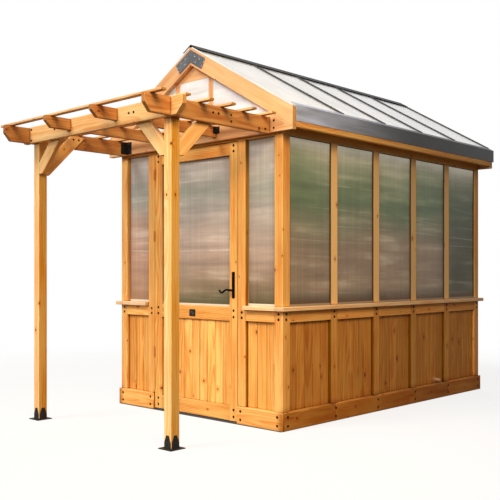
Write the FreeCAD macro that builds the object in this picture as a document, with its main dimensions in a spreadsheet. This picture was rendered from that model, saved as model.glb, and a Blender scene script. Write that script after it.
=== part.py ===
"""Wooden greenhouse with a glazed pitched roof, a hinged door and a pergola porch.

Millimetres, +Z up. The origin lies on the ground, in the middle of the whole
footprint. The door and the porch face -Y, the side walls face +X and -X.
"""
import FreeCAD, Part
import math
import os
import re
import Sketcher

# Driving sizes in millimetres, angles in degrees
SIZES = {
    # Wall frame
    "wall_width": 1720.0,
    "wall_length": 2675.0,
    "wall_height": 1935.0,
    "post_size": 72.0,
    "door_opening": 880.0,
    "rail_depth": 45.0,
    "skirt_thick": 14.0,
    "skirt_height": 120.0,
    "belt_bottom": 705.0,
    "belt_height": 76.0,
    "sill_thick": 28.0,
    "sill_nose": 20.0,
    "plate_height": 115.0,
    # Wall boards and panes
    "board_recess": 22.0,
    "board_thick": 14.0,
    "board_vee": 4.0,
    "board_gap": 1.0,
    "pane_recess": 30.0,
    "side_pane_recess": 10.0,
    "pane_thick": 8.0,
    # Roof
    "roof_pitch": 30.0,
    "eave_overhang": 114.0,
    "rear_reach": 45.0,
    "rafter_depth": 110.0,
    "rafter_thick": 36.0,
    "birdsmouth": 14.0,
    "ridge_thick": 36.0,
    "truss_thick": 36.0,
    "tie_lift": 15.0,
    "tie_height": 115.0,
    "heel_height": 30.0,
    "gable_stud_in": 150.0,
    "gable_stud_width": 48.0,
    "gable_panel_drop": 236.0,
    "gable_panel_thick": 18.0,
    "apex_arm": 178.0,
    "apex_margin": 15.0,
    "metal_thick": 3.0,
    "sheet_thick": 8.0,
    "sheet_gap": 4.0,
    "bar_width": 34.0,
    "bar_thick": 7.0,
    "ridge_gap": 12.0,
    "cap_reach": 80.0,
    "fascia_thick": 36.0,
    "fascia_drop": 128.0,
    "flashing_drop": 91.0,
    "flashing_leg": 42.0,
    # Pergola porch
    "tail_reach": 1068.0,
    "header_setback": 191.5,
    "porch_thick": 32.0,
    "porch_drop": 15.0,
    "porch_depth": 108.0,
    "inner_depth": 75.0,
    "header_overhang": 101.0,
    "outer_rafter_x": 750.0,
    "inner_rafter_x": 250.0,
    "tail_cut": 44.0,
    "end_cut": 56.0,
    "porch_post": 64.0,
    "slat_overhang": 98.0,
    "slat_width": 40.0,
    "slat_thick": 15.0,
    "slat_tip_gap": 56.0,
    "slat_wall_gap": 66.0,
    "brace_width": 85.0,
    "brace_angle": 45.0,
    "brace_drop": 325.0,
    "brace_toe_width": 40.0,
    "brace_head_drop": 20.0,
    # Steel fittings of the porch
    "anchor_plate": 116.0,
    "anchor_base": 5.0,
    "anchor_height": 82.0,
    "anchor_tab": 56.0,
    "anchor_tip": 22.0,
    "anchor_hole_inset": 12.0,
    "anchor_hole_radius": 5.5,
    "hanger_gap": 2.0,
    "outer_hanger_leg": 58.0,
    "outer_hanger_height": 94.0,
    "inner_hanger_leg": 32.0,
    "inner_hanger_height": 50.0,
    # Hose inlet
    "inlet_lift": 32.0,
    "inlet_radius": 13.3,
    "inlet_length": 62.0,
    "inlet_inside": 30.0,
    "inlet_flange_radius": 24.0,
    "inlet_flange_thick": 5.0,
    "inlet_bore_radius": 9.5,
    "inlet_clearance": 1.0,
    # Door
    "door_gap": 4.0,
    "door_floor_gap": 12.0,
    "door_thick": 45.0,
    "stile_width": 76.0,
    "top_rail_height": 86.0,
    "lock_rail_bottom": 700.0,
    "lock_rail_height": 97.0,
    "bottom_rail_height": 103.0,
    "door_board_recess": 14.0,
    "door_pane_recess": 20.0,
    "sweep_thick": 10.0,
    "sweep_height": 8.0,
    # Door hinges
    "hinge_low": 435.0,
    "hinge_mid": 1310.0,
    "hinge_top_drop": 155.0,
    "hinge_height": 76.0,
    "hinge_leaf": 30.0,
    "leaf_gap": 0.6,
    "knuckle_radius": 5.0,
    "knuckle_stand": 7.0,
    "knuckle_gap": 0.6,
    "pin_radius": 2.4,
    "pin_clearance": 0.5,
    "pin_stand": 2.0,
    # Door latch
    "latch_backset": 38.0,
    "latch_height": 912.0,
    "handle_plate_width": 24.0,
    "handle_plate_height": 180.0,
    "handle_plate_thick": 5.0,
    "handle_plate_below": 54.0,
    "spindle_size": 8.0,
    "spindle_bore_radius": 7.0,
    "lever_neck_radius": 8.0,
    "lever_play": 0.4,
    "lever_collar_radius": 10.5,
    "lever_collar_thick": 3.0,
    "lever_stand": 42.0,
    "lever_radius": 6.5,
    "lever_hump_run": 20.0,
    "lever_hump_rise": 3.8,
    "lever_dip": 17.0,
    "lever_tip_run": 22.0,
    "lever_tip_rise": 17.0,
    "bolt_wide": 16.0,
    "bolt_tall": 24.0,
    "bolt_long": 14.0,
    "bolt_proud": 2.2,
    "bolt_play": 0.6,
    "bolt_throw": 4.0,
    "strike_height": 70.0,
    "strike_width": 30.0,
    "strike_thick": 1.0,
}

# Counts of repeated pieces
BAYS = 5
REAR_BAYS = 3
SIDE_BOARDS = 5
FRONT_BOARDS = 3
REAR_BOARDS = 5
DOOR_BOARDS = 9
SLATS = 6
INLET_BAY = 3
INLET_BOARD = 3

# Y positions: the front face of the skirt, the posts and the truss
FRONT = "((tail_reach - wall_length - rear_reach)/2)"
REAR = f"({FRONT} + wall_length)"
MIDDLE = f"({FRONT} + wall_length/2)"
FACE = f"({FRONT} + skirt_thick)"
REAR_FACE = f"({REAR} - skirt_thick)"
TRUSS = f"({FACE} - truss_thick)"
ROOF_REAR = f"({REAR} + rear_reach)"
TIP = f"({FRONT} - tail_reach)"
HEADER_FRONT = f"({TIP} + header_setback)"
HEADER_BACK = f"({HEADER_FRONT} + porch_thick)"
POST_BACK = f"({HEADER_BACK} + porch_post)"

# X positions: the outer face of the posts, the door opening and the eave
OUT = "(wall_width/2 - skirt_thick)"
INNER = f"({OUT} - post_size)"
JAMB = "(door_opening/2)"
DOOR_EDGE = f"({JAMB} - door_gap)"
DOOR_CLEAR = f"({DOOR_EDGE} - stile_width)"
EAVE = f"({OUT} + eave_overhang)"
RAFTER_IN = "(outer_rafter_x - porch_thick/2)"
POST_IN = f"({RAFTER_IN} - porch_post)"
HEADER_END = "(outer_rafter_x + porch_thick/2 + header_overhang)"
SLAT_END = "(outer_rafter_x + porch_thick/2 + slat_overhang)"
LATCH_X = f"({DOOR_EDGE} - latch_backset)"
LEAF = "((door_gap - leaf_gap)/2)"

# Spacing of the studs and the clear widths between them
BAY = f"((wall_length - 2*skirt_thick - post_size)/{BAYS})"
REAR_BAY = f"((2*{OUT} - post_size)/{REAR_BAYS})"
BAY_CLEAR = f"({BAY} - post_size)"
REAR_CLEAR = f"({REAR_BAY} - post_size)"
FRONT_CLEAR = f"({INNER} - {JAMB} - post_size)"

# Heights of the walls and the roof
BELT_TOP = "(belt_bottom + belt_height)"
SILL_TOP = f"({BELT_TOP} + sill_thick)"
PLATE_TOP = "(wall_height + plate_height)"
PLUMB = "(rafter_depth/cos(roof_pitch))"
APEX = f"({PLATE_TOP} + {PLUMB} - birdsmouth + {OUT}*tan(roof_pitch))"
SHEET_RISE = "(sheet_thick/cos(roof_pitch))"
BAR_RISE = "(bar_thick/cos(roof_pitch))"
METAL_RISE = "(metal_thick/cos(roof_pitch))"
TIE_BOTTOM = "(wall_height + tie_lift)"
TIE_TOP = f"({TIE_BOTTOM} + tie_height)"
HEEL = f"({TIE_BOTTOM} + heel_height)"
PORCH_TOP = f"({TIE_TOP} - porch_drop)"
PORCH_BOTTOM = f"({PORCH_TOP} - porch_depth)"
BRACE_TOE = f"({PORCH_TOP} - brace_drop)"
DOOR_TOP = "(wall_height - door_gap)"

doc = FreeCAD.newDocument("greenhouse")
sheet = doc.addObject("Spreadsheet::Sheet", "Sizes")
for row, (alias, value) in enumerate(SIZES.items(), start=1):
    sheet.set(f"A{row}", alias)
    sheet.set(f"B{row}", str(value))
    sheet.setAlias(f"B{row}", alias)
doc.recompute()

nodes = {}
PLANES = {"x": "YZ_Plane", "y": "XZ_Plane", "z": "XY_Plane"}


def bound(text):
    """Expression text with each size name turned into its cell."""
    return re.sub(r"[a-z_]{4,}", lambda m: f"Sizes.{m.group()}" if m.group() in SIZES else m.group(), text)


def size(text):
    """Present value of an expression of sizes."""
    return float(sheet.evalExpression(bound(text)))


def roof(x):
    """Height of the rafters' top line at the distance x from the ridge."""
    return f"({APEX} - ({x})*tan(roof_pitch))"


def under_barge(z):
    """Distance from the ridge where the rafters' lower line has the height z."""
    return f"(({APEX} - {PLUMB} - {z})/tan(roof_pitch))"


def box(name, corner, lengths):
    """Block with its lowest corner and its three lengths bound to the sheet."""
    block = doc.addObject("Part::Box", name)
    for axis, text in zip("xyz", corner):
        block.setExpression(f"Placement.Base.{axis}", bound(text))
    for side, text in zip(("Length", "Width", "Height"), lengths):
        block.setExpression(side, bound(text))
    return block


def rod(name, axis, centre, radius, length):
    """Cylinder from a centre point along +X, +Y or +Z."""
    turn = {"x": ((0, 1, 0), 90), "y": ((1, 0, 0), -90), "z": ((0, 0, 1), 0)}[axis]
    cylinder = doc.addObject("Part::Cylinder", name)
    cylinder.Placement.Rotation = FreeCAD.Rotation(FreeCAD.Vector(*turn[0]), turn[1])
    for direction, text in zip("xyz", centre):
        cylinder.setExpression(f"Placement.Base.{direction}", bound(text))
    cylinder.setExpression("Radius", bound(radius))
    cylinder.setExpression("Height", bound(length))
    return cylinder


def board(name, axis, outline, start, length):
    """Body padded along an axis from a dimensioned outline of straight edges."""
    body = doc.addObject("PartDesign::Body", name)
    sketch = body.newObject("Sketcher::SketchObject", f"{name}_outline")
    plane = [f for f in body.Origin.OriginFeatures if f.Role == PLANES[axis]][0]
    sketch.AttachmentSupport = (plane, [""])
    sketch.MapMode = "FlatFace"
    corners = [FreeCAD.Vector(size(u), size(v), 0) for u, v in outline]
    following = corners[1:] + corners[:1]
    sketch.addGeometry([Part.LineSegment(a, b) for a, b in zip(corners, following)], False)
    count = len(corners)
    sketch.addConstraint([Sketcher.Constraint("Coincident", i, 2, (i + 1) % count, 1) for i in range(count)])
    for i, (texts, corner) in enumerate(zip(outline, corners)):
        for kind, text, value in zip(("DistanceX", "DistanceY"), texts, corner):
            index = sketch.addConstraint(Sketcher.Constraint(kind, -1, 1, i, 1, value))
            sketch.setExpression(f"Constraints[{index}]", bound(text))
    pad = body.newObject("PartDesign::Pad", f"{name}_pad")
    pad.Profile = sketch
    pad.Reversed = axis == "y"
    pad.setExpression("Length", bound(length))
    body.setExpression(f"Placement.Base.{axis}", bound(start))
    return body


def rows(body, sketch_axis, steps):
    """Repeat a body's pad along its sketch axis in one or two spacings."""
    sketch, pad = body.Group[0], body.Group[1]
    pattern = body.newObject("PartDesign::LinearPattern", f"{body.Name}_rows")
    pattern.Originals = [pad]
    for suffix, (pitch, count) in zip(("", "2"), steps):
        setattr(pattern, f"Direction{suffix}", (sketch, [sketch_axis]))
        setattr(pattern, f"Occurrences{suffix}", count)
        pattern.setExpression(f"Length{suffix}", bound(f"({pitch})*{count - 1}"))
    body.Tip = pattern
    return body


def mirrored(source, axis):
    """Copy mirrored across the middle of the part, or of its walls along Y."""
    copy = doc.addObject("Part::Mirroring", f"{source.Name}_{axis}")
    copy.Source = source
    copy.Normal = FreeCAD.Vector(axis == "x", axis == "y", 0)
    if axis == "y":
        copy.setExpression("Base.y", bound(MIDDLE))
    return copy


def both(source, axis="x"):
    """A piece and its mirrored twin."""
    return [source, mirrored(source, axis)]


def four(source):
    """A piece repeated in all four quarters."""
    return [piece for twin in both(source) for piece in both(twin, "y")]


def cut(name, base, tools):
    """A piece less one or more tools."""
    tool = group(f"{name}_tools", tools) if len(tools) > 1 else tools[0]
    result = doc.addObject("Part::Cut", name)
    result.Base = base
    result.Tool = tool
    return result


def fused(name, pieces):
    """Pieces welded or formed as one."""
    result = doc.addObject("Part::MultiFuse", name)
    result.Shapes = pieces
    result.Refine = True
    return result


def group(name, pieces):
    """Separate pieces kept together."""
    result = doc.addObject("Part::Compound", name)
    result.Links = pieces
    return result


def node(label, pieces):
    """Name a finished sub-part: one piece, or a group of like pieces."""
    finished = group(f"{label}_set", pieces) if len(pieces) > 1 else pieces[0]
    finished.Label = label
    nodes[label] = finished
    return finished


def wall_frame():
    """Posts, studs, rails, skirt, belt, sills and plates of the four walls."""
    square = ("post_size", "post_size", "wall_height")
    corner_posts = four(box("corner_post", (INNER, FACE, "0"), square))
    studs = [box(f"side_stud_{i}", (INNER, f"{FACE} + {i}*{BAY}", "0"), square) for i in range(1, BAYS)]
    rear_stud = box("rear_stud", (f"{REAR_BAY}/2 - post_size/2", f"{REAR_FACE} - post_size", "0"), square)
    jamb = box("door_jamb", (JAMB, FACE, "0"), square)
    node("corner_posts", corner_posts)
    node("side_wall_studs", [piece for stud in studs for piece in both(stud)])
    node("rear_wall_studs", both(rear_stud))
    node("door_jambs", both(jamb))

    # Rails fit between the studs, flush with their outer faces
    for label, low, high in (("bottom_rails", "0", "skirt_height"), ("belt_rails", "belt_bottom", "belt_height")):
        pieces = []
        for i in range(BAYS):
            along = f"{FACE} + {i}*{BAY} + post_size"
            rail = box(f"{label}_side_{i}", (f"{OUT} - rail_depth", along, low), ("rail_depth", BAY_CLEAR, high))
            pieces += both(rail)
        front = box(f"{label}_front", (f"{JAMB} + post_size", FACE, low), (FRONT_CLEAR, "rail_depth", high))
        pieces += both(front)
        for i in range(REAR_BAYS):
            across = f"-{OUT} + {i}*{REAR_BAY} + post_size"
            corner = (across, f"{REAR_FACE} - rail_depth", low)
            pieces.append(box(f"{label}_rear_{i}", corner, (REAR_CLEAR, "rail_depth", high)))
        node(label, pieces)

    # Skirt boards stand in front of the posts, with a joint at each stud
    pieces = []
    for i in range(BAYS):
        start = FACE if i == 0 else f"{FACE} + {i}*{BAY} + post_size/2"
        span = f"{BAY} + post_size/2" if i in (0, BAYS - 1) else BAY
        pieces += both(box(f"skirt_side_{i}", (OUT, start, "0"), ("skirt_thick", span, "skirt_height")))
    front_span = f"wall_width/2 - {JAMB}"
    pieces += both(box("skirt_front", (JAMB, FRONT, "0"), (front_span, "skirt_thick", "skirt_height")))
    pieces += both(box("skirt_rear", ("0", REAR_FACE, "0"), ("wall_width/2", "skirt_thick", "skirt_height")))
    node("skirt_boards", pieces)

    # Sills lie on the belt, notched round the posts, with a nose all along
    sill_in = f"({OUT} - rail_depth)"
    nose = "(wall_width/2 + sill_nose)"
    side = box("sill_side", (sill_in, f"{FRONT} - sill_nose", BELT_TOP),
               (f"{nose} - {sill_in}", "wall_length + 2*sill_nose", "sill_thick"))
    front = box("sill_front", (f"{JAMB} + post_size", f"{FRONT} - sill_nose", BELT_TOP),
                (f"{sill_in} - {JAMB} - post_size", "sill_nose + skirt_thick + rail_depth", "sill_thick"))
    rear = box("sill_rear", (f"-{sill_in}", f"{REAR_FACE} - rail_depth", BELT_TOP),
               (f"2*{sill_in}", "sill_nose + skirt_thick + rail_depth", "sill_thick"))
    side_posts = [corner_posts[0], corner_posts[1]] + studs
    rear_posts = [nodes["corner_posts"], nodes["rear_wall_studs"]]
    sills = both(cut("sill_side_notched", side, side_posts))
    sills += both(cut("sill_front_notched", front, [corner_posts[0]]))
    sills.append(cut("sill_rear_notched", rear, rear_posts))
    node("window_sills", sills)

    # Plates lie on the posts and carry the roof
    plate = box("side_plate", (INNER, FACE, "wall_height"), ("post_size", f"{REAR_FACE} - {FACE}", "plate_height"))
    lintel = box("gable_lintel", (f"-{INNER}", FACE, "wall_height"), (f"2*{INNER}", "post_size", "plate_height"))
    node("side_top_plates", both(plate))
    node("gable_lintels", both(lintel, "y"))


def vee_board(name, face, start, width, along):
    """Upright board with two bevelled front edges, on a wall facing +X or -Y."""
    back = f"({face}) - board_thick" if along == "y" else f"({face}) + board_thick"
    bevel = f"({face}) - board_vee" if along == "y" else f"({face}) + board_vee"
    end = f"({start}) + {width}"
    outline = [(back, start), (bevel, start), (face, f"({start}) + board_vee"),
               (face, f"{end} - board_vee"), (bevel, end), (back, end)]
    if along == "x":
        outline = [(v, u) for u, v in outline]
    return board(name, "z", outline, "skirt_height", "belt_bottom - skirt_height")


def board_width(clear, count):
    """Width of one of a number of boards that fill a clear width."""
    return f"(({clear} - {count - 1}*board_gap)/{count})"


def inlet_place():
    """Y and Z of the hose inlet, in the middle of a board and just above the skirt."""
    step = f"({board_width(BAY_CLEAR, SIDE_BOARDS)} + board_gap)"
    along = f"{FACE} + {INLET_BAY}*{BAY} + post_size + {INLET_BOARD + 0.5}*{step} - board_gap/2"
    return along, "skirt_height + inlet_lift"


def wall_boards():
    """Upright boards of the lower walls, set back between the studs."""
    face = f"{OUT} - board_recess"
    width = board_width(BAY_CLEAR, SIDE_BOARDS)
    side = vee_board("side_board", face, f"{FACE} + post_size", width, "y")
    rows(side, "V_Axis", ((f"{width} + board_gap", SIDE_BOARDS), (BAY, BAYS)))
    inlet_hole = rod("inlet_hole", "x", (INNER, *inlet_place()), "inlet_radius + inlet_clearance", "post_size")
    node("right_wall_boards", [cut("right_boards", side, [inlet_hole])])
    node("left_wall_boards", [mirrored(side, "x")])

    width = board_width(FRONT_CLEAR, FRONT_BOARDS)
    front = vee_board("front_board", f"{FACE} + board_recess", f"{JAMB} + post_size", width, "x")
    rows(front, "H_Axis", ((f"{width} + board_gap", FRONT_BOARDS),))
    node("front_wall_boards", both(front))

    width = board_width(REAR_CLEAR, REAR_BOARDS)
    mirror_face = f"{FACE} + board_recess"
    rear = vee_board("rear_board", mirror_face, f"-{OUT} + post_size", width, "x")
    rows(rear, "H_Axis", ((f"{width} + board_gap", REAR_BOARDS), (REAR_BAY, REAR_BAYS)))
    node("rear_wall_boards", [mirrored(rear, "y")])


def wall_glazing():
    """Twin-wall panes of the upper walls, between the studs."""
    tall = f"wall_height - {SILL_TOP}"
    depth = f"{OUT} - side_pane_recess - pane_thick"
    side = [box(f"side_pane_{i}", (depth, f"{FACE} + {i}*{BAY} + post_size", SILL_TOP),
                ("pane_thick", BAY_CLEAR, tall)) for i in range(BAYS)]
    front = box("front_pane", (f"{JAMB} + post_size", f"{FACE} + pane_recess", SILL_TOP),
                (FRONT_CLEAR, "pane_thick", tall))
    rear = [box(f"rear_pane_{i}", (f"-{OUT} + {i}*{REAR_BAY} + post_size",
                                   f"{REAR_FACE} - pane_recess - pane_thick", SILL_TOP),
                (REAR_CLEAR, "pane_thick", tall)) for i in range(REAR_BAYS)]
    node("right_wall_glazing", side)
    node("left_wall_glazing", [mirrored(pane, "x") for pane in side])
    node("front_wall_glazing", both(front))
    node("rear_wall_glazing", rear)


def roof_frame():
    """Ridge, rafters, gable trusses and gable infill."""
    half = "ridge_thick/2"
    tail = f"({EAVE} - fascia_thick)"
    seat = under_barge(PLATE_TOP)
    outline = [(half, roof(half)), (tail, roof(tail)), (tail, f"{roof(tail)} - {PLUMB}"),
               (OUT, f"{roof(OUT)} - {PLUMB}"), (OUT, PLATE_TOP), (seat, PLATE_TOP),
               (half, f"{roof(half)} - {PLUMB}")]
    rafters = []
    for i in range(1, BAYS):
        start = f"{FACE} + {i}*{BAY} + post_size/2 - rafter_thick/2"
        rafters += both(board(f"rafter_{i}", "y", outline, start, "rafter_thick"))
    node("common_rafters", rafters)
    ridge_low = f"{roof(half)} - {PLUMB}"
    node("ridge_board", [box("ridge", (f"-{half}", f"{FACE} + gable_panel_thick", ridge_low),
                             ("ridge_thick", f"{REAR_FACE} - {FACE} - 2*gable_panel_thick", PLUMB))])

    # Gable trusses: two barge boards on a tie beam, in one plane
    toe = under_barge(HEEL)
    barge = board("barge", "y", [("0", APEX), (EAVE, roof(EAVE)), (EAVE, HEEL), (toe, HEEL),
                                 ("0", f"{APEX} - {PLUMB}")], TRUSS, "truss_thick")
    shoulder = under_barge(TIE_TOP)
    right_half = [(EAVE, TIE_BOTTOM), (EAVE, HEEL), (toe, HEEL), (shoulder, TIE_TOP)]
    left_half = [(f"-({x})", z) for x, z in reversed(right_half)]
    tie = board("tie", "y", right_half + left_half, TRUSS, "truss_thick")
    node("front_barge_boards", both(barge))
    node("rear_barge_boards", both(mirrored(barge, "y")))
    node("front_tie_beam", [tie])
    node("rear_tie_beam", [mirrored(tie, "y")])

    # Steel chevron plates over the peak joints
    top = f"({APEX} - apex_margin/cos(roof_pitch))"
    arm_x = "(apex_arm*cos(roof_pitch))"
    arm_z = f"({top} - apex_arm*sin(roof_pitch))"
    wide = "(rafter_depth - 2*apex_margin)"
    low_x = f"({arm_x} - {wide}*sin(roof_pitch))"
    low_z = f"({arm_z} - {wide}*cos(roof_pitch))"
    chevron = [("0", top), (arm_x, arm_z), (low_x, low_z), ("0", f"{top} - {wide}/cos(roof_pitch)"),
               (f"-{low_x}", low_z), (f"-{arm_x}", arm_z)]
    node("apex_plates", both(board("apex_plate", "y", chevron, f"{TRUSS} - metal_thick", "metal_thick"), "y"))

    # Gable infill behind the trusses, on the lintels
    stud_out = "(gable_stud_in + gable_stud_width)"
    panel_low = f"({APEX} - gable_panel_drop)"
    stud = board("gable_stud", "y", [("gable_stud_in", PLATE_TOP), (stud_out, PLATE_TOP),
                                     (stud_out, roof(stud_out)), ("gable_stud_in", roof("gable_stud_in"))],
                 FACE, "truss_thick")
    panel = board("gable_panel", "y", [("-gable_stud_in", panel_low), ("gable_stud_in", panel_low),
                                       ("gable_stud_in", roof("gable_stud_in")), ("0", APEX),
                                       ("-gable_stud_in", roof("gable_stud_in"))], FACE, "gable_panel_thick")
    middle = box("gable_pane_middle", ("-gable_stud_in", FACE, PLATE_TOP),
                 ("2*gable_stud_in", "pane_thick", f"{panel_low} - {PLATE_TOP}"))
    side = board("gable_pane_side", "y", [(stud_out, PLATE_TOP), (INNER, PLATE_TOP), (INNER, roof(INNER)),
                                          (stud_out, roof(stud_out))], FACE, "pane_thick")
    node("gable_studs", four(stud))
    node("gable_apex_panels", both(panel, "y"))
    node("gable_glazing", both(middle, "y") + four(side))


def sloped(name, near, far, lift, rise, start, length):
    """Strip of even thickness on the right roof slope."""
    outline = [(near, f"{roof(near)} + {lift}"), (far, f"{roof(far)} + {lift}"),
               (far, f"{roof(far)} + {lift} + {rise}"), (near, f"{roof(near)} + {lift} + {rise}")]
    return board(name, "y", outline, start, length)


def roof_cover():
    """Roof sheets, glazing bars, ridge cap, eave flashings and fascias."""
    lines = [TRUSS] + [f"({FACE} + {i}*{BAY} + post_size/2)" for i in range(1, BAYS)] + [ROOF_REAR]
    sheets = []
    for i, (start, end) in enumerate(zip(lines, lines[1:])):
        near = start if i == 0 else f"{start} + sheet_gap/2"
        far = end if i == BAYS - 1 else f"{end} - sheet_gap/2"
        sheets.append(sloped(f"roof_sheet_{i}", "ridge_gap", EAVE, "0", SHEET_RISE, near, f"{far} - ({near})"))
    bar_end = f"({EAVE} - flashing_leg)"
    starts = [f"{line} - bar_width/2" for line in lines[1:-1]] + [f"{ROOF_REAR} - bar_width"]
    bars = [sloped(f"glazing_bar_{i}", "ridge_gap", bar_end, SHEET_RISE, BAR_RISE, start, "bar_width")
            for i, start in enumerate(starts)]
    node("right_roof_glazing", sheets)
    node("left_roof_glazing", [mirrored(piece, "x") for piece in sheets])
    node("right_glazing_bars", bars)
    node("left_glazing_bars", [mirrored(piece, "x") for piece in bars])

    seat = f"{SHEET_RISE} + {BAR_RISE}"
    cap = [("0", f"{APEX} + {seat}"), ("cap_reach", f"{roof('cap_reach')} + {seat}"),
           ("cap_reach", f"{roof('cap_reach')} + {seat} + {METAL_RISE}"), ("0", f"{APEX} + {seat} + {METAL_RISE}"),
           ("-cap_reach", f"{roof('cap_reach')} + {seat} + {METAL_RISE}"),
           ("-cap_reach", f"{roof('cap_reach')} + {seat}")]
    node("ridge_cap", [board("cap", "y", cap, TRUSS, f"{ROOF_REAR} - {TRUSS}")])

    lip = f"({EAVE} + metal_thick)"
    flash_low = f"({roof(EAVE)} - flashing_drop)"
    flashing = [(bar_end, f"{roof(bar_end)} + {SHEET_RISE}"), (EAVE, f"{roof(EAVE)} + {SHEET_RISE}"),
                (EAVE, flash_low), (lip, flash_low), (lip, f"{roof(lip)} + {SHEET_RISE} + {METAL_RISE}"),
                (bar_end, f"{roof(bar_end)} + {SHEET_RISE} + {METAL_RISE}")]
    node("eave_flashings", both(board("flashing", "y", flashing, FACE, f"{ROOF_REAR} - {FACE}")))
    back = f"({EAVE} - fascia_thick)"
    low = f"({roof(EAVE)} - fascia_drop)"
    fascia = [(back, low), (EAVE, low), (EAVE, roof(EAVE)), (back, roof(back))]
    node("eave_fascias", both(board("fascia", "y", fascia, FACE, f"{REAR_FACE} - {FACE}")))


def brace_outline(face, sign):
    """Knee brace beside a post face: plumb heel, level toe and level head."""
    head = f"({PORCH_TOP} - brace_head_drop)"
    slope = "tan(brace_angle)"
    wide = "(brace_width/sin(brace_angle))"
    toe = "brace_toe_width"
    low_head = f"({toe} + ({head} - {BRACE_TOE})/{slope})"
    high_head = f"({low_head} - {wide})"
    heel_top = f"({head} - {high_head}*{slope})"
    points = [("0", BRACE_TOE), (toe, BRACE_TOE), (low_head, head), (high_head, head), ("0", heel_top)]
    return [(f"{face} {sign} {x}", z) for x, z in points]


def pergola():
    """Porch posts, crossed header and rafters, slats and knee braces."""
    post = box("porch_post", (POST_IN, HEADER_BACK, "anchor_base"),
               ("porch_post", "porch_post", f"{PORCH_TOP} - anchor_base"))
    node("pergola_posts", both(post))

    # Header with cut ends, slotted from above for the rafters that cross it
    half = "porch_thick/2"
    right = [(f"{HEADER_END} - end_cut", PORCH_BOTTOM), (HEADER_END, f"{PORCH_BOTTOM} + end_cut"),
             (HEADER_END, PORCH_TOP)]
    for centre, depth in (("outer_rafter_x", "porch_depth/2"), ("inner_rafter_x", "inner_depth")):
        right += [(f"{centre} + {half}", PORCH_TOP), (f"{centre} + {half}", f"{PORCH_TOP} - {depth}"),
                  (f"{centre} - {half}", f"{PORCH_TOP} - {depth}"), (f"{centre} - {half}", PORCH_TOP)]
    left = [(f"-({x})", z) for x, z in reversed(right)]
    header = board("header", "y", right + left, HEADER_FRONT, "porch_thick")

    # Rafters with cut tails, from the tip to the tie beam
    lap = f"({PORCH_BOTTOM} + porch_depth/2)"
    outer = [(TIP, PORCH_TOP), (TIP, f"{PORCH_BOTTOM} + tail_cut*1.2"), (f"{TIP} + tail_cut", PORCH_BOTTOM),
             (HEADER_FRONT, PORCH_BOTTOM), (HEADER_FRONT, lap), (HEADER_BACK, lap), (HEADER_BACK, PORCH_BOTTOM),
             (TRUSS, PORCH_BOTTOM), (TRUSS, PORCH_TOP)]
    low = f"({PORCH_TOP} - inner_depth)"
    inner = [(TIP, PORCH_TOP), (TIP, f"{low} + tail_cut"), (f"{TIP} + tail_cut", low), (TRUSS, low),
             (TRUSS, PORCH_TOP)]
    outer_rafter = board("outer_rafter", "x", outer, RAFTER_IN, "porch_thick")
    inner_rafter = board("inner_rafter", "x", inner, f"inner_rafter_x - {half}", "porch_thick")
    pitch = f"(({TRUSS} - {TIP} - slat_tip_gap - slat_wall_gap)/{SLATS - 1})"
    slats = [box(f"slat_{i}", (f"-{SLAT_END}", f"{TIP} + slat_tip_gap + {i}*{pitch} - slat_width/2", PORCH_TOP),
                 (f"2*{SLAT_END}", "slat_width", "slat_thick")) for i in range(SLATS)]

    # Knee braces lap behind the header and inside the outer rafters
    header_brace = board("header_brace", "y", brace_outline(POST_IN, "-"), HEADER_BACK, "porch_thick")
    rafter_brace = board("rafter_brace", "x", brace_outline(POST_BACK, "+"), f"{RAFTER_IN} - porch_thick",
                         "porch_thick")
    node("pergola_header", [header])
    node("pergola_outer_rafters", both(outer_rafter))
    node("pergola_inner_rafters", both(inner_rafter))
    node("pergola_slats", slats)
    node("header_knee_braces", both(header_brace))
    node("rafter_knee_braces", both(rafter_brace))


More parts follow.
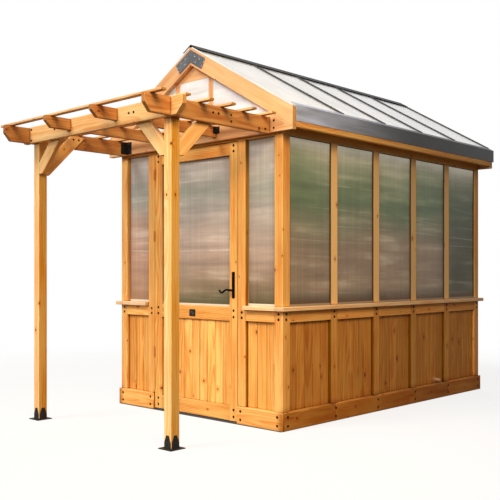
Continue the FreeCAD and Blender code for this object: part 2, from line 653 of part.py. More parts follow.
def porch_steel():
    """Post anchors and the angle brackets that hang the rafters on the tie beam."""
    centre_x = f"({POST_IN} + porch_post/2)"
    centre_y = f"({HEADER_BACK} + porch_post/2)"
    base = box("anchor_base", (f"{centre_x} - anchor_plate/2", f"{centre_y} - anchor_plate/2", "0"),
               ("anchor_plate", "anchor_plate", "anchor_base"))

    def tab(middle):
        """Outline of an upright tab, tapering to a blunt tip."""
        shoulder = "(anchor_base + (anchor_height - anchor_base)*0.45)"
        return [(f"{middle} - anchor_tab/2", "0"), (f"{middle} + anchor_tab/2", "0"),
                (f"{middle} + anchor_tab/2", shoulder), (f"{middle} + anchor_tip/2", "anchor_height"),
                (f"{middle} - anchor_tip/2", "anchor_height"), (f"{middle} - anchor_tab/2", shoulder)]

    tabs = [board("anchor_tab_front", "y", tab(centre_x), f"{HEADER_BACK} - metal_thick", "metal_thick"),
            board("anchor_tab_rear", "y", tab(centre_x), POST_BACK, "metal_thick"),
            board("anchor_tab_left", "x", tab(centre_y), f"{POST_IN} - metal_thick", "metal_thick"),
            board("anchor_tab_right", "x", tab(centre_y), RAFTER_IN, "metal_thick")]
    reach = "(anchor_plate/2 - anchor_hole_inset)"
    holes = [rod(f"anchor_hole_{i}_{j}", "z", (f"{centre_x} {x} {reach}", f"{centre_y} {y} {reach}", "0"),
                 "anchor_hole_radius", "anchor_base")
             for i, x in enumerate("+-") for j, y in enumerate("+-")]
    anchor = cut("anchor_drilled", fused("anchor", [base] + tabs), holes)
    node("post_anchors", both(anchor))

    def hanger(name, kind, x, sign):
        """Angle bracket beside a rafter face at x, on its +X or -X side."""
        leg, height = f"{kind}_hanger_leg", f"{kind}_hanger_height"
        low = f"({PORCH_TOP} - hanger_gap - {height})"
        start = x if sign == "+" else f"{x} - metal_thick"
        wing = x if sign == "+" else f"{x} - {leg}"
        side = box(f"{name}_side", (start, f"{TRUSS} - {leg}", low), ("metal_thick", leg, height))
        face = box(f"{name}_face", (wing, f"{TRUSS} - metal_thick", low), (leg, "metal_thick", height))
        return fused(name, [side, face])

    half = "porch_thick/2"
    brackets = [hanger("outer_hanger", "outer", RAFTER_IN, "-"),
                hanger("inner_hanger_a", "inner", f"inner_rafter_x - {half}", "-"),
                hanger("inner_hanger_b", "inner", f"inner_rafter_x + {half}", "+")]
    node("rafter_hangers", [piece for bracket in brackets for piece in both(bracket)])


def hose_inlet():
    """Threaded pipe stub through the right wall, with a flange on each face."""
    face = f"({OUT} - board_recess)"
    back = f"({face} - board_thick)"

    def ring(name, start, radius, length):
        """Round length of the fitting."""
        return rod(name, "x", (start, *inlet_place()), radius, length)

    body = fused("inlet_body", [
        ring("inlet_pipe", f"{back} - inlet_inside", "inlet_radius", "inlet_inside + board_thick + inlet_length"),
        ring("inlet_flange", face, "inlet_flange_radius", "inlet_flange_thick"),
        ring("inlet_nut", f"{back} - inlet_flange_thick", "inlet_flange_radius", "inlet_flange_thick")])
    bore = ring("inlet_bore", f"{back} - inlet_inside", "inlet_bore_radius",
                "inlet_inside + board_thick + inlet_length")
    node("hose_inlet", [cut("inlet_bored", body, [bore])])


def door_leaf():
    """Stiles, rails, boards, pane and sweep of the door."""
    tall = f"{DOOR_TOP} - door_floor_gap"
    stile = box("stile", (DOOR_CLEAR, FACE, "door_floor_gap"), ("stile_width", "door_thick", tall))
    bore = rod("spindle_bore", "y", (LATCH_X, FACE, "latch_height"), "spindle_bore_radius", "door_thick")
    middle = f"({FACE} + door_thick/2)"
    pocket = box("latch_pocket", (f"{DOOR_EDGE} - bolt_long - bolt_throw", f"{middle} - bolt_wide/2 - bolt_play",
                                  "latch_height - bolt_tall/2 - bolt_play"),
                 ("bolt_long + bolt_throw", "bolt_wide + 2*bolt_play", "bolt_tall + 2*bolt_play"))
    node("door_stiles", [cut("lock_stile", stile, [bore, pocket]), mirrored(stile, "x")])

    rails = []
    for name, low, high in (("top", f"{DOOR_TOP} - top_rail_height", "top_rail_height"),
                            ("lock", "lock_rail_bottom", "lock_rail_height"),
                            ("bottom", "door_floor_gap", "bottom_rail_height")):
        rails.append(box(f"door_rail_{name}", (f"-{DOOR_CLEAR}", FACE, low),
                         (f"2*{DOOR_CLEAR}", "door_thick", high)))
    node("door_rails", rails)

    width = board_width(f"2*{DOOR_CLEAR}", DOOR_BOARDS)
    low = "(door_floor_gap + bottom_rail_height)"
    slab = vee_board("door_board", f"{FACE} + door_board_recess", f"-{DOOR_CLEAR}", width, "x")
    slab.setExpression("Placement.Base.z", bound(low))
    slab.Group[1].setExpression("Length", bound(f"lock_rail_bottom - {low}"))
    node("door_boards", [rows(slab, "H_Axis", ((f"{width} + board_gap", DOOR_BOARDS),))])
    pane_low = "(lock_rail_bottom + lock_rail_height)"
    node("door_glazing", [box("door_pane", (f"-{DOOR_CLEAR}", f"{FACE} + door_pane_recess", pane_low),
                              (f"2*{DOOR_CLEAR}", "pane_thick", f"{DOOR_TOP} - top_rail_height - {pane_low}"))])
    node("door_sweep", [box("sweep", (f"-{DOOR_EDGE}", f"{middle} - sweep_thick/2",
                                      "door_floor_gap - sweep_height"),
                            (f"2*{DOOR_EDGE}", "sweep_thick", "sweep_height"))])


def hinges():
    """Three butt hinges, with the knuckles in front of the left door gap."""
    axis_x = f"(-{JAMB} + door_gap/2)"
    axis_y = f"({FACE} - knuckle_stand)"
    share = "(hinge_height/3)"
    frame_leaves, door_leaves, pins = [], [], []
    heights = {"low": "hinge_low", "mid": "hinge_mid", "high": f"{DOOR_TOP} - hinge_top_drop"}
    for label, height in heights.items():
        bottom = f"({height} - hinge_height/2)"
        hole = rod(f"hinge_hole_{label}", "z", (axis_x, axis_y, bottom), "pin_radius + pin_clearance", "hinge_height")

        def leaf(name, x, knuckles):
            """Leaf at x with knuckles round the pin."""
            plate = box(f"{name}_plate", (x, f"{FACE} - knuckle_gap", bottom),
                        (LEAF, "hinge_leaf", "hinge_height"))
            pieces = [plate]
            for i, (low, high) in enumerate(knuckles):
                pieces.append(rod(f"{name}_barrel_{i}", "z", (axis_x, axis_y, low), "knuckle_radius", high))
                pieces.append(box(f"{name}_strap_{i}", (x, axis_y, low), (LEAF, "hinge_leaf/2", high)))
            return cut(name, fused(f"{name}_solid", pieces), [hole])

        ends = [(bottom, f"{share} - knuckle_gap/2"),
                (f"{bottom} + 2*{share} + knuckle_gap/2", f"{share} - knuckle_gap/2")]
        centre = [(f"{bottom} + {share} + knuckle_gap/2", f"{share} - knuckle_gap")]
        frame_leaves.append(leaf(f"frame_leaf_{label}", f"-{JAMB}", ends))
        door_leaves.append(leaf(f"door_leaf_{label}", f"-{DOOR_EDGE} - {LEAF}", centre))
        pins.append(rod(f"hinge_pin_{label}", "z", (axis_x, axis_y, f"{bottom} - pin_stand"), "pin_radius",
                        "hinge_height + 2*pin_stand"))
    node("hinge_frame_leaves", frame_leaves)
    node("hinge_door_leaves", door_leaves)
    node("hinge_pins", pins)


def lever_shape():
    """Outer lever: a neck through its plate, a collar and an arm that humps, dips and turns up at its tip."""
    face, arm_y = size(FACE), size(f"{FACE} - lever_stand")
    start = FreeCAD.Vector(size(LATCH_X), arm_y, size("latch_height"))
    radius, neck_radius = size("lever_radius"), size("lever_neck_radius")

    # The arm follows an arc over a low hump and a tighter arc through its lowest point up to its tip
    hump_run, hump_rise = size("lever_hump_run"), size("lever_hump_rise")
    tip_run, tip_rise = size("lever_tip_run"), size("lever_tip_rise")
    dip = size("lever_dip")
    leave = 2 * math.atan2(hump_rise, hump_run)
    turn = 2 * math.atan2(tip_rise, tip_run)
    long_radius, short_radius = hump_run / math.sin(leave), tip_run / math.sin(turn)
    fall = math.acos(1 - (hump_rise + dip) / (long_radius + short_radius))
    low = hump_run + (long_radius + short_radius) * math.sin(fall)
    long_centre = start + FreeCAD.Vector(-hump_run, 0, hump_rise - long_radius)
    short_centre = start + FreeCAD.Vector(-low, 0, short_radius - dip)

    def on_arc(centre, reach, angle):
        """Point of an arc at an angle from straight up, turning towards the tip."""
        return centre + FreeCAD.Vector(-reach * math.sin(angle), 0, reach * math.cos(angle))

    joint = on_arc(long_centre, long_radius, fall)
    tip = on_arc(short_centre, -short_radius, -turn)
    arcs = [Part.Arc(start, on_arc(long_centre, long_radius, (fall - leave) / 2), joint),
            Part.Arc(joint, on_arc(short_centre, -short_radius, (fall - turn) / 2), tip)]
    path = Part.Wire([arc.toShape() for arc in arcs])

    def ring(centre, across, reach):
        """Eight-sided outline round a point of the path, in the plane of Y and a direction across the path."""
        corners = []
        for i in range(8):
            angle = math.radians(22.5 + 45 * i)
            corners.append(centre + across * (reach * math.cos(angle)) + FreeCAD.Vector(0, reach * math.sin(angle), 0))
        return Part.makePolygon(corners + corners[:1])

    square_on = FreeCAD.Vector(math.sin(leave), 0, math.cos(leave))
    arm = path.makePipeShell([ring(start, square_on, radius)], True, False)
    way = FreeCAD.Vector(-math.cos(turn), 0, math.sin(turn))
    across = FreeCAD.Vector(math.sin(turn), 0, math.cos(turn))
    nose = Part.makeLoft([ring(tip, across, radius), ring(tip + way * (radius * 0.5), across, radius * 0.6)], True, True)

    inward = FreeCAD.Vector(0, 1, 0)
    thick = size("lever_collar_thick")
    seat = FreeCAD.Vector(start.x, face - size("handle_plate_thick") - thick, start.z)
    neck = Part.makeCylinder(neck_radius, face - arm_y + neck_radius, start - inward * neck_radius, inward)
    collar = Part.makeCylinder(size("lever_collar_radius"), thick, seat, inward)
    return arm.fuse([nose, neck, collar]).removeSplitter()


def latch():
    """Lever handles on a spindle, their plates, the latch bolt and its strike."""
    middle = f"({FACE} + door_thick/2)"
    plate = box("handle_plate_blank", (f"{LATCH_X} - handle_plate_width/2", f"{FACE} - handle_plate_thick",
                                       "latch_height - handle_plate_below"),
                ("handle_plate_width", "handle_plate_thick", "handle_plate_height"))
    hole = rod("handle_plate_hole", "y", (LATCH_X, f"{FACE} - handle_plate_thick", "latch_height"),
               "lever_neck_radius + lever_play", "handle_plate_thick")
    outer_plate = cut("handle_plate", plate, [hole])

    def across_door(source):
        """Copy mirrored to the inner face of the door."""
        copy = doc.addObject("Part::Mirroring", f"{source.Name}_inner")
        copy.Source = source
        copy.Normal = FreeCAD.Vector(0, 1, 0)
        copy.setExpression("Base.y", bound(middle))
        return copy

    node("handle_plates", [outer_plate, across_door(outer_plate)])
    lever = doc.addObject("Part::Feature", "outer_lever")
    lever.Shape = lever_shape()
    square = box("spindle", (f"{LATCH_X} - spindle_size/2", FACE, "latch_height - spindle_size/2"),
                 ("spindle_size", "door_thick", "spindle_size"))
    node("lever_handles", [lever, across_door(lever)])
    node("lever_spindle", [square])
    node("latch_bolt", [box("latch_tongue", (f"{DOOR_EDGE} + bolt_proud - bolt_long", f"{middle} - bolt_wide/2",
                                             "latch_height - bolt_tall/2"),
                            ("bolt_long", "bolt_wide", "bolt_tall"))])
    strike = box("strike_blank", (f"{JAMB} - strike_thick", f"{middle} - strike_width/2",
                                  "latch_height - strike_height/2"),
                 ("strike_thick", "strike_width", "strike_height"))
    window = box("strike_window", (f"{JAMB} - strike_thick", f"{middle} - bolt_wide/2 - bolt_play",
                                   "latch_height - bolt_tall/2 - bolt_play"),
                 ("strike_thick", "bolt_wide + 2*bolt_play", "bolt_tall + 2*bolt_play"))
    node("strike_plate", [cut("strike", strike, [window])])


def check():
    """Stop if any object failed or any sub-part has a missing or broken shape."""
    for item in doc.Objects:
        if "Invalid" in item.State or "Error" in item.State:
            raise RuntimeError(f"{item.Name} failed: {item.State}")
    for label, item in nodes.items():
        if item.Shape.isNull() or not item.Shape.isValid() or not item.Shape.Solids:
            raise RuntimeError(f"{label} has no valid solid")


wall_frame()
wall_boards()
wall_glazing()
roof_frame()
roof_cover()
pergola()
porch_steel()
hose_inlet()
door_leaf()
hinges()
latch()
doc.recompute()
check()

os.makedirs("parts", exist_ok=True)
for label, item in nodes.items():
    item.Shape.exportStep(f"parts/{label}.step")
    print(f"{label}: {len(item.Shape.Solids)} solids, {item.Shape.Volume / 1e6:.2f} litres")
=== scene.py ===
"""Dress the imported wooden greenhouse: timber, twin-wall sheets, metalwork and studio."""
import logging
import math
import random
from dataclasses import dataclass
from enum import Enum
from functools import lru_cache
from typing import Any, ClassVar

import bmesh
import bpy
from bmesh.types import BMEdge, BMesh, BMFace, BMVert
from mathutils import Matrix, Vector


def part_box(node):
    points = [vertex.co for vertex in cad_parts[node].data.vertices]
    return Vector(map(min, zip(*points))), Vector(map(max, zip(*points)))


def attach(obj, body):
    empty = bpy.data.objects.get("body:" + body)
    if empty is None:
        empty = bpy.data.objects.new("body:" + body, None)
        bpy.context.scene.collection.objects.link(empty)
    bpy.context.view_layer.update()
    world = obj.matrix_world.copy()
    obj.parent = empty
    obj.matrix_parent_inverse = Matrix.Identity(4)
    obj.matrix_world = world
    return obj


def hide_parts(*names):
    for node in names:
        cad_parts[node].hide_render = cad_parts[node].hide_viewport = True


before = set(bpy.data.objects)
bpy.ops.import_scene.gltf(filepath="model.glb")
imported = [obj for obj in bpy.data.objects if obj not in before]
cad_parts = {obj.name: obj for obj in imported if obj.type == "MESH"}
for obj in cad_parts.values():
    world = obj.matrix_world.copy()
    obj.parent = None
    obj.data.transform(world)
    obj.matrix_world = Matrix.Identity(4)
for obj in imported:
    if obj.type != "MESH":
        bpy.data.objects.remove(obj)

LOG = logging.getLogger("greenhouse")
MM = 0.001
WELD = 1e-6
FLAT_ANGLE = math.radians(0.6)
CREASE_ANGLE = math.radians(28.0)
FULL_TURN = 2.0 * math.pi
UP = Vector((0.0, 0.0, 1.0))

Colour = tuple[float, float, float, float]
Place = tuple[float, float, float]
Span = tuple[float, float]
Weights = tuple[float, ...]
Stops = tuple[tuple[float, Colour], ...]

WHITE: Colour = (1.0, 1.0, 1.0, 1.0)


def tint(red: int, green: int, blue: int) -> Colour:
    """Turn a screen colour into the shader's linear one.

    Args:
        red: Red from 0 to 255.
        green: Green from 0 to 255.
        blue: Blue from 0 to 255.

    Returns:
        The linear colour with full alpha.
    """
    shares = [value / 255.0 for value in (red, green, blue)]
    linear = [s / 12.92 if s <= 0.04045 else ((s + 0.055) / 1.055) ** 2.4 for s in shares]
    return (linear[0], linear[1], linear[2], 1.0)


def sign(value: float) -> float:
    """Give 1 or -1 with a value's sign."""
    return math.copysign(1.0, value)


def axis_vector(axis: int, way: float) -> Vector:
    """Give the unit vector of an axis, forwards or backwards."""
    vector = Vector((0.0, 0.0, 0.0))
    vector[axis] = way
    return vector


class Channel:
    """A grey value in a node tree that takes part in Python's arithmetic."""

    def __init__(self, recipe: "Recipe", socket: bpy.types.NodeSocket) -> None:
        """Keep the tree and the socket that carries the value."""
        self.recipe = recipe
        self.socket = socket

    def math(self, operation: str, *terms: "Channel | float") -> "Channel":
        """Add a Math node.

        Args:
            operation: The node's operation.
            terms: Its inputs in order.

        Returns:
            The result.
        """
        node = self.recipe.node("ShaderNodeMath", {"operation": operation}, dict(enumerate(terms)))
        return Channel(self.recipe, node.outputs[0])

    def __add__(self, other: "Channel | float") -> "Channel":
        """Sum."""
        return self.math("ADD", self, other)

    __radd__ = __add__

    def __sub__(self, other: "Channel | float") -> "Channel":
        """Difference."""
        return self.math("SUBTRACT", self, other)

    def __rsub__(self, other: float) -> "Channel":
        """Reflected difference."""
        return self.math("SUBTRACT", other, self)

    def __mul__(self, other: "Channel | float") -> "Channel":
        """Product."""
        return self.math("MULTIPLY", self, other)

    __rmul__ = __mul__

    def __truediv__(self, other: "Channel | float") -> "Channel":
        """Quotient."""
        return self.math("DIVIDE", self, other)

    def __abs__(self) -> "Channel":
        """Size without the sign."""
        return self.math("ABSOLUTE", self)

    def swing(self) -> "Channel":
        """Distance from one half, the middle of a noise."""
        return self - 0.5

    def fraction(self) -> "Channel":
        """Part after the decimal point."""
        return self.math("FRACT", self)

    def wave(self) -> "Channel":
        """Sine of the value."""
        return self.math("SINE", self)

    def root(self) -> "Channel":
        """Square root."""
        return self.math("SQRT", self)

    def ease(self, low: float, high: float) -> "Channel":
        """Smooth step.

        Args:
            low: Value that gives 0.
            high: Value that gives 1.

        Returns:
            A share from 0 to 1.
        """
        sockets = {"Value": self, "From Min": min(low, high), "From Max": max(low, high)}
        node = self.recipe.node("ShaderNodeMapRange", {"interpolation_type": "SMOOTHSTEP"}, sockets)
        step = Channel(self.recipe, node.outputs["Result"])
        return step if low < high else 1.0 - step


Term = Channel | float | tuple | bpy.types.NodeSocket


@dataclass(frozen=True)
class Weave:
    """A noise that is stretched over a surface."""

    along: float
    across: float
    detail: float = 3.0
    rough: float = 0.5
    shift: float = 0.0


@dataclass(frozen=True)
class Mark:
    """How a mark on a surface changes the colour under it."""

    share: float
    value: float
    saturation: float = 1.0


class Recipe:
    """The node tree of one material or world."""

    def __init__(self, owner: bpy.types.Material | bpy.types.World) -> None:
        """Empty the owner's tree."""
        self.owner = owner
        owner.use_nodes = True
        self.tree = owner.node_tree
        self.tree.nodes.clear()

    @classmethod
    def material(cls, name: str) -> "Recipe":
        """Start the tree of a new material."""
        return cls(bpy.data.materials.new(name))

    def node(self, kind: str, settings: dict[str, Any] | None = None,
             sockets: dict[str | int, Term] | None = None) -> bpy.types.Node:
        """Add a node.

        Args:
            kind: The node's type.
            settings: Properties set first; a ramp's stops go under "stops".
            sockets: Values or links by input name or number.

        Returns:
            The node.
        """
        made = self.tree.nodes.new(kind)
        for key, value in (settings or {}).items():
            if key == "stops":
                self.place_stops(made.color_ramp, value)
            else:
                setattr(made, key, value)
        for key, value in (sockets or {}).items():
            value = value.socket if isinstance(value, Channel) else value
            if isinstance(value, bpy.types.NodeSocket):
                self.tree.links.new(value, made.inputs[key])
            else:
                made.inputs[key].default_value = value
        return made

    @staticmethod
    def place_stops(ramp: bpy.types.ColorRamp, stops: Stops) -> None:
        """Fill a ramp.

        Args:
            ramp: The ramp.
            stops: Positions and colours in rising order.
        """
        while len(ramp.elements) < len(stops):
            ramp.elements.new(1.0)
        for element, (position, colour) in zip(ramp.elements, stops):
            element.position = position
            element.color = colour

    def split(self, vector: bpy.types.NodeSocket) -> tuple[Channel, Channel, Channel]:
        """Take a vector apart into its three values."""
        node = self.node("ShaderNodeSeparateXYZ", sockets={0: vector})
        return tuple(Channel(self, socket) for socket in node.outputs)

    def join(self, x: Term, y: Term, z: Term) -> bpy.types.NodeSocket:
        """Put three values together as a vector."""
        return self.node("ShaderNodeCombineXYZ", sockets={0: x, 1: y, 2: z}).outputs[0]

    def place(self) -> bpy.types.NodeSocket:
        """Give the object coordinates, which are the part's own."""
        return self.node("ShaderNodeTexCoord").outputs["Object"]

    def attribute(self, name: str) -> bpy.types.Node:
        """Read an attribute of the mesh."""
        return self.node("ShaderNodeAttribute", {"attribute_name": name})

    def share(self, name: str) -> Channel:
        """Read an attribute of the mesh as one value."""
        return Channel(self, self.attribute(name).outputs["Fac"])

    def noise(self, vector: bpy.types.NodeSocket, detail: float, rough: float,
              scale: float = 1.0) -> Channel:
        """Add a noise.

        Args:
            vector: Where it is read.
            detail: Octaves.
            rough: Weight of the fine octaves.
            scale: Its scale.

        Returns:
            A value round one half.
        """
        sockets = {"Vector": vector, "Scale": scale, "Detail": detail, "Roughness": rough}
        return Channel(self, self.node("ShaderNodeTexNoise", sockets=sockets).outputs[0])

    def flat_noise(self, weave: Weave, along: Channel, across: Channel) -> Channel:
        """Add a noise that is stretched over two directions."""
        spot = self.join(along * weave.along, across * weave.across, 0.0)
        return self.noise(spot, weave.detail, weave.rough)

    @staticmethod
    def total(weights: Weights, *channels: Channel, start: float = 0.0) -> Channel:
        """Add up values by their weights.

        Args:
            weights: The weights.
            channels: The values in the same order.
            start: What the sum starts from.

        Returns:
            The sum.
        """
        return sum((channel * weight for channel, weight in zip(channels, weights)), start)

    def ramp(self, value: Channel, stops: Stops) -> bpy.types.NodeSocket:
        """Turn a value into a colour through stops."""
        return self.node("ShaderNodeValToRGB", {"stops": stops}, {"Fac": value}).outputs["Color"]

    def mix(self, share: Term, first: Term, second: Term,
            blend: str = "MIX") -> bpy.types.NodeSocket:
        """Mix two colours.

        Args:
            share: How much of the second.
            first: Colour at 0.
            second: Colour at 1.
            blend: The blend type.

        Returns:
            The mixed colour.
        """
        settings = {"data_type": "RGBA", "blend_type": blend}
        return self.node("ShaderNodeMix", settings, {0: share, 6: first, 7: second}).outputs[2]

    def shade(self, colour: Term, value: Term, saturation: Term = 1.0) -> bpy.types.NodeSocket:
        """Lighten or darken a colour by a factor."""
        sockets = {"Color": colour, "Value": value, "Saturation": saturation}
        return self.node("ShaderNodeHueSaturation", sockets=sockets).outputs[0]

    def mark(self, colour: Term, mask: Channel, mark: Mark) -> bpy.types.NodeSocket:
        """Leave a mark on a colour where a mask allows it."""
        return self.mix(mask * mark.share, colour, self.shade(colour, mark.value, mark.saturation))

    def rays(self, *names: str) -> list[Channel]:
        """Tell which kinds of ray see the surface."""
        node = self.node("ShaderNodeLightPath")
        return [Channel(self, node.outputs[name]) for name in names]

    def crevice(self, reach: float) -> Channel:
        """Tell how open the surface is within a reach: 1 in the open, less in a joint."""
        node = self.node("ShaderNodeAmbientOcclusion", {"samples": 6}, {"Distance": reach})
        return Channel(self, node.outputs["AO"])

    def bump(self, height: Channel, strength: float, distance: float) -> bpy.types.NodeSocket:
        """Raise the surface by a height."""
        sockets = {"Height": height, "Strength": strength, "Distance": distance}
        return self.node("ShaderNodeBump", sockets=sockets).outputs[0]

    def surface(self, **sockets: Term) -> bpy.types.Material:
        """Close the tree with a principled surface.

        Args:
            sockets: Input names with _ for a space, and their values.

        Returns:
            The finished material.
        """
        named = {key.replace("_", " "): value for key, value in sockets.items()}
        shader = self.node("ShaderNodeBsdfPrincipled", sockets=named)
        self.node("ShaderNodeOutputMaterial", sockets={"Surface": shader.outputs[0]})
        return self.owner


@dataclass(frozen=True)
class OiledTimber:
    """Oiled softwood with growth rings, fibres and knots along each board."""

    name: str
    pale: Colour
    deep: Colour
    depth_mix: Weights = (0.40, 1.5, 1.1)
    depth_start: float = 0.16
    depth_span: Span = (-0.25, 1.0)
    fibre: Weave = Weave(5.0, 170.0, rough=0.6)
    streak: Weave = Weave(1.6, 34.0, rough=0.6)
    cloud: Weave = Weave(2.4, 8.0)
    knot: Colour = tint(104, 52, 22)
    knot_pitch: float = 0.30
    knot_radius: float = 0.0068
    knot_plan: Span = (0.8, 1.3)
    knot_sizes: Span = (0.55, 0.9)
    knot_odds: Span = (0.30, 0.34)
    core_span: Span = (1.25, 0.55)
    core_share: float = 0.9
    halo_span: Span = (4.2, 0.8)
    halo_share: float = 0.55
    halo_push: float = 0.012
    ring: float = 0.011
    ring_jitter: float = 0.45
    ring_rise: Span = (0.15, 0.9)
    ring_drop: Span = (1.0, 0.93)
    heart_y: Weave = Weave(1.1, 3.0, 2.0)
    heart_z: Weave = Weave(1.1, 3.0, 2.0, shift=7.0)
    heart_wander: float = 0.085
    spread: float = 0.22
    fibre_shade: float = 0.16
    end_mark: Mark = Mark(0.55, 0.62, 1.1)
    arris_highlight: Mark = Mark(0.45, 1.16, 0.86)
    joint_shade: Mark = Mark(0.85, 0.22, 1.25)
    joint_shade_reach: float = 0.014
    joint_shade_span: Span = (0.92, 0.35)
    lee: float = 0.0
    bow: float = 0.0
    turned_face_shade: Mark = Mark(1.0, 0.72, 1.18)
    upper_painted_light: float = 0.0
    painted_light_tone: Colour = tint(255, 208, 136)
    upper_light_heights: Span = (0.79, 0.83)
    wall_foot_shade: Colour = tint(172, 136, 38)
    wall_foot_heights: Span = (0.17, 0.10)
    long_wall_reach: Span = (0.79, 0.85)
    wall_foot_mix: Span = (0.55, 0.6)
    rough: float = 0.50
    rough_mix: Weights = (0.22, 0.12, -0.08)
    relief_mix: Weights = (0.45, 0.55, 0.8, -0.2)
    relief: Span = (0.35, 0.0016)
    gloss: float = 0.16

    @lru_cache(maxsize=None)
    def material(self) -> bpy.types.Material:
        """Build the wood from the attributes that Joiner leaves on a mesh."""
        tree = Recipe.material(self.name)
        axes = tree.split(tree.attribute("grain").outputs["Vector"])
        fibre, streak, cloud = (
            self.strand(tree, axes, weave) for weave in (self.fibre, self.streak, self.cloud))
        core, halo = self.knots(tree, axes)
        late = self.rings(tree, axes, halo, fibre)

        depth = tree.total(
            self.depth_mix, late, streak.swing(), cloud.swing(), start=self.depth_start)
        colour = tree.mix(depth.ease(*self.depth_span), self.pale, self.deep)
        x, _, height = tree.split(tree.place())
        # Painted light: the wood above the sill is painted lighter
        colour = tree.mix(height.ease(*self.upper_light_heights) * self.upper_painted_light, colour, self.painted_light_tone)
        colour = tree.mix(halo * self.halo_share, colour, self.deep)
        colour = tree.mix(core * self.core_share, colour, self.knot)
        tones = (self.spread, self.fibre_shade)
        board = tree.share("board")
        colour = tree.shade(colour, tree.total(tones, board.swing(), fibre.swing(), start=1.0))
        end = tree.share("end")
        colour = tree.mark(colour, end, self.end_mark)
        # Painted highlight: the eased edges are painted lighter
        colour = tree.mark(colour, tree.share("arris"), self.arris_highlight)

        # Painted shade: the wood darkens in joints and creases, where little light reaches
        joint = tree.crevice(self.joint_shade_reach).ease(*self.joint_shade_span)
        colour = tree.mark(colour, joint, self.joint_shade)
        # Painted shade on the faces turned to the right or to the front
        turned = tree.total((self.lee, self.bow), tree.share("lee"), tree.share("bow"))
        colour = tree.mark(colour, turned, self.turned_face_shade)
        # Painted shade: the foot of the long walls is painted darker
        least, more = self.wall_foot_mix
        foot = height.ease(*self.wall_foot_heights) * abs(x).ease(*self.long_wall_reach)
        colour = tree.mix(foot * (cloud * more + least), colour, self.wall_foot_shade, "MULTIPLY")
        relief = tree.total(self.relief_mix, late, fibre, core, cloud)
        return tree.surface(
            Base_Color=colour,
            Roughness=tree.total(self.rough_mix, fibre, end, late, start=self.rough),
            Normal=tree.bump(relief, *self.relief), Specular_IOR_Level=self.gloss)

    @staticmethod
    def strand(tree: Recipe, axes: tuple[Channel, ...], weave: Weave) -> Channel:
        """Add a noise that is drawn out along the grain.

        Args:
            tree: The wood's tree.
            axes: Places along the board, across it and into it.
            weave: The noise's stretch.

        Returns:
            A value round one half.
        """
        along, across, deep = axes
        spot = tree.join(
            along * weave.along + weave.shift, across * weave.across, deep * weave.across)
        return tree.noise(spot, weave.detail, weave.rough)

    def knots(self, tree: Recipe, axes: tuple[Channel, ...]) -> tuple[Channel, Channel]:
        """Set knots in some cells of a plan that is unrolled over the board's faces.

        Args:
            tree: The wood's tree.
            axes: Places along the board, across it and into it.

        Returns:
            The knots' cores and the halos round them.
        """
        along, across, deep = axes
        stretch, fold = self.knot_plan
        plan = tree.join(along * (stretch / self.knot_pitch),
                         (across + deep * fold) / self.knot_pitch, 0.0)
        cells = tree.node("ShaderNodeTexVoronoi", {"voronoi_dimensions": "2D"},
                          {"Vector": plan, "Scale": 1.0})
        chance, size, _ = tree.split(cells.outputs["Color"])
        least, more = self.knot_sizes
        reach = (least + size * more) * (self.knot_radius / self.knot_pitch)
        near = Channel(tree, cells.outputs["Distance"]) / reach
        lucky = chance.ease(*self.knot_odds)
        return near.ease(*self.core_span) * lucky, near.ease(*self.halo_span) * lucky

    def rings(self, tree: Recipe, axes: tuple[Channel, ...], halo: Channel,
              fibre: Channel) -> Channel:
        """Draw rings round a heart line beside the board, which bend round the knots.

        Args:
            tree: The wood's tree.
            axes: Places along the board, across it and into it.
            halo: The halos of the knots.
            fibre: The fine fibres, which fray the rings.

        Returns:
            The share of dark late wood.
        """
        _, across, deep = axes
        y = across + self.strand(tree, axes, self.heart_y).swing() * self.heart_wander
        z = deep + self.strand(tree, axes, self.heart_z).swing() * self.heart_wander
        radius = (y * y + z * z).root() + halo * self.halo_push
        phase = (radius / self.ring + fibre.swing() * self.ring_jitter).fraction()
        return phase.ease(*self.ring_rise) * phase.ease(*self.ring_drop)


class Flute(Enum):
    """The axis across which the upright flutes of a sheet are counted."""

    ACROSS_X = 0
    ACROSS_Y = 1


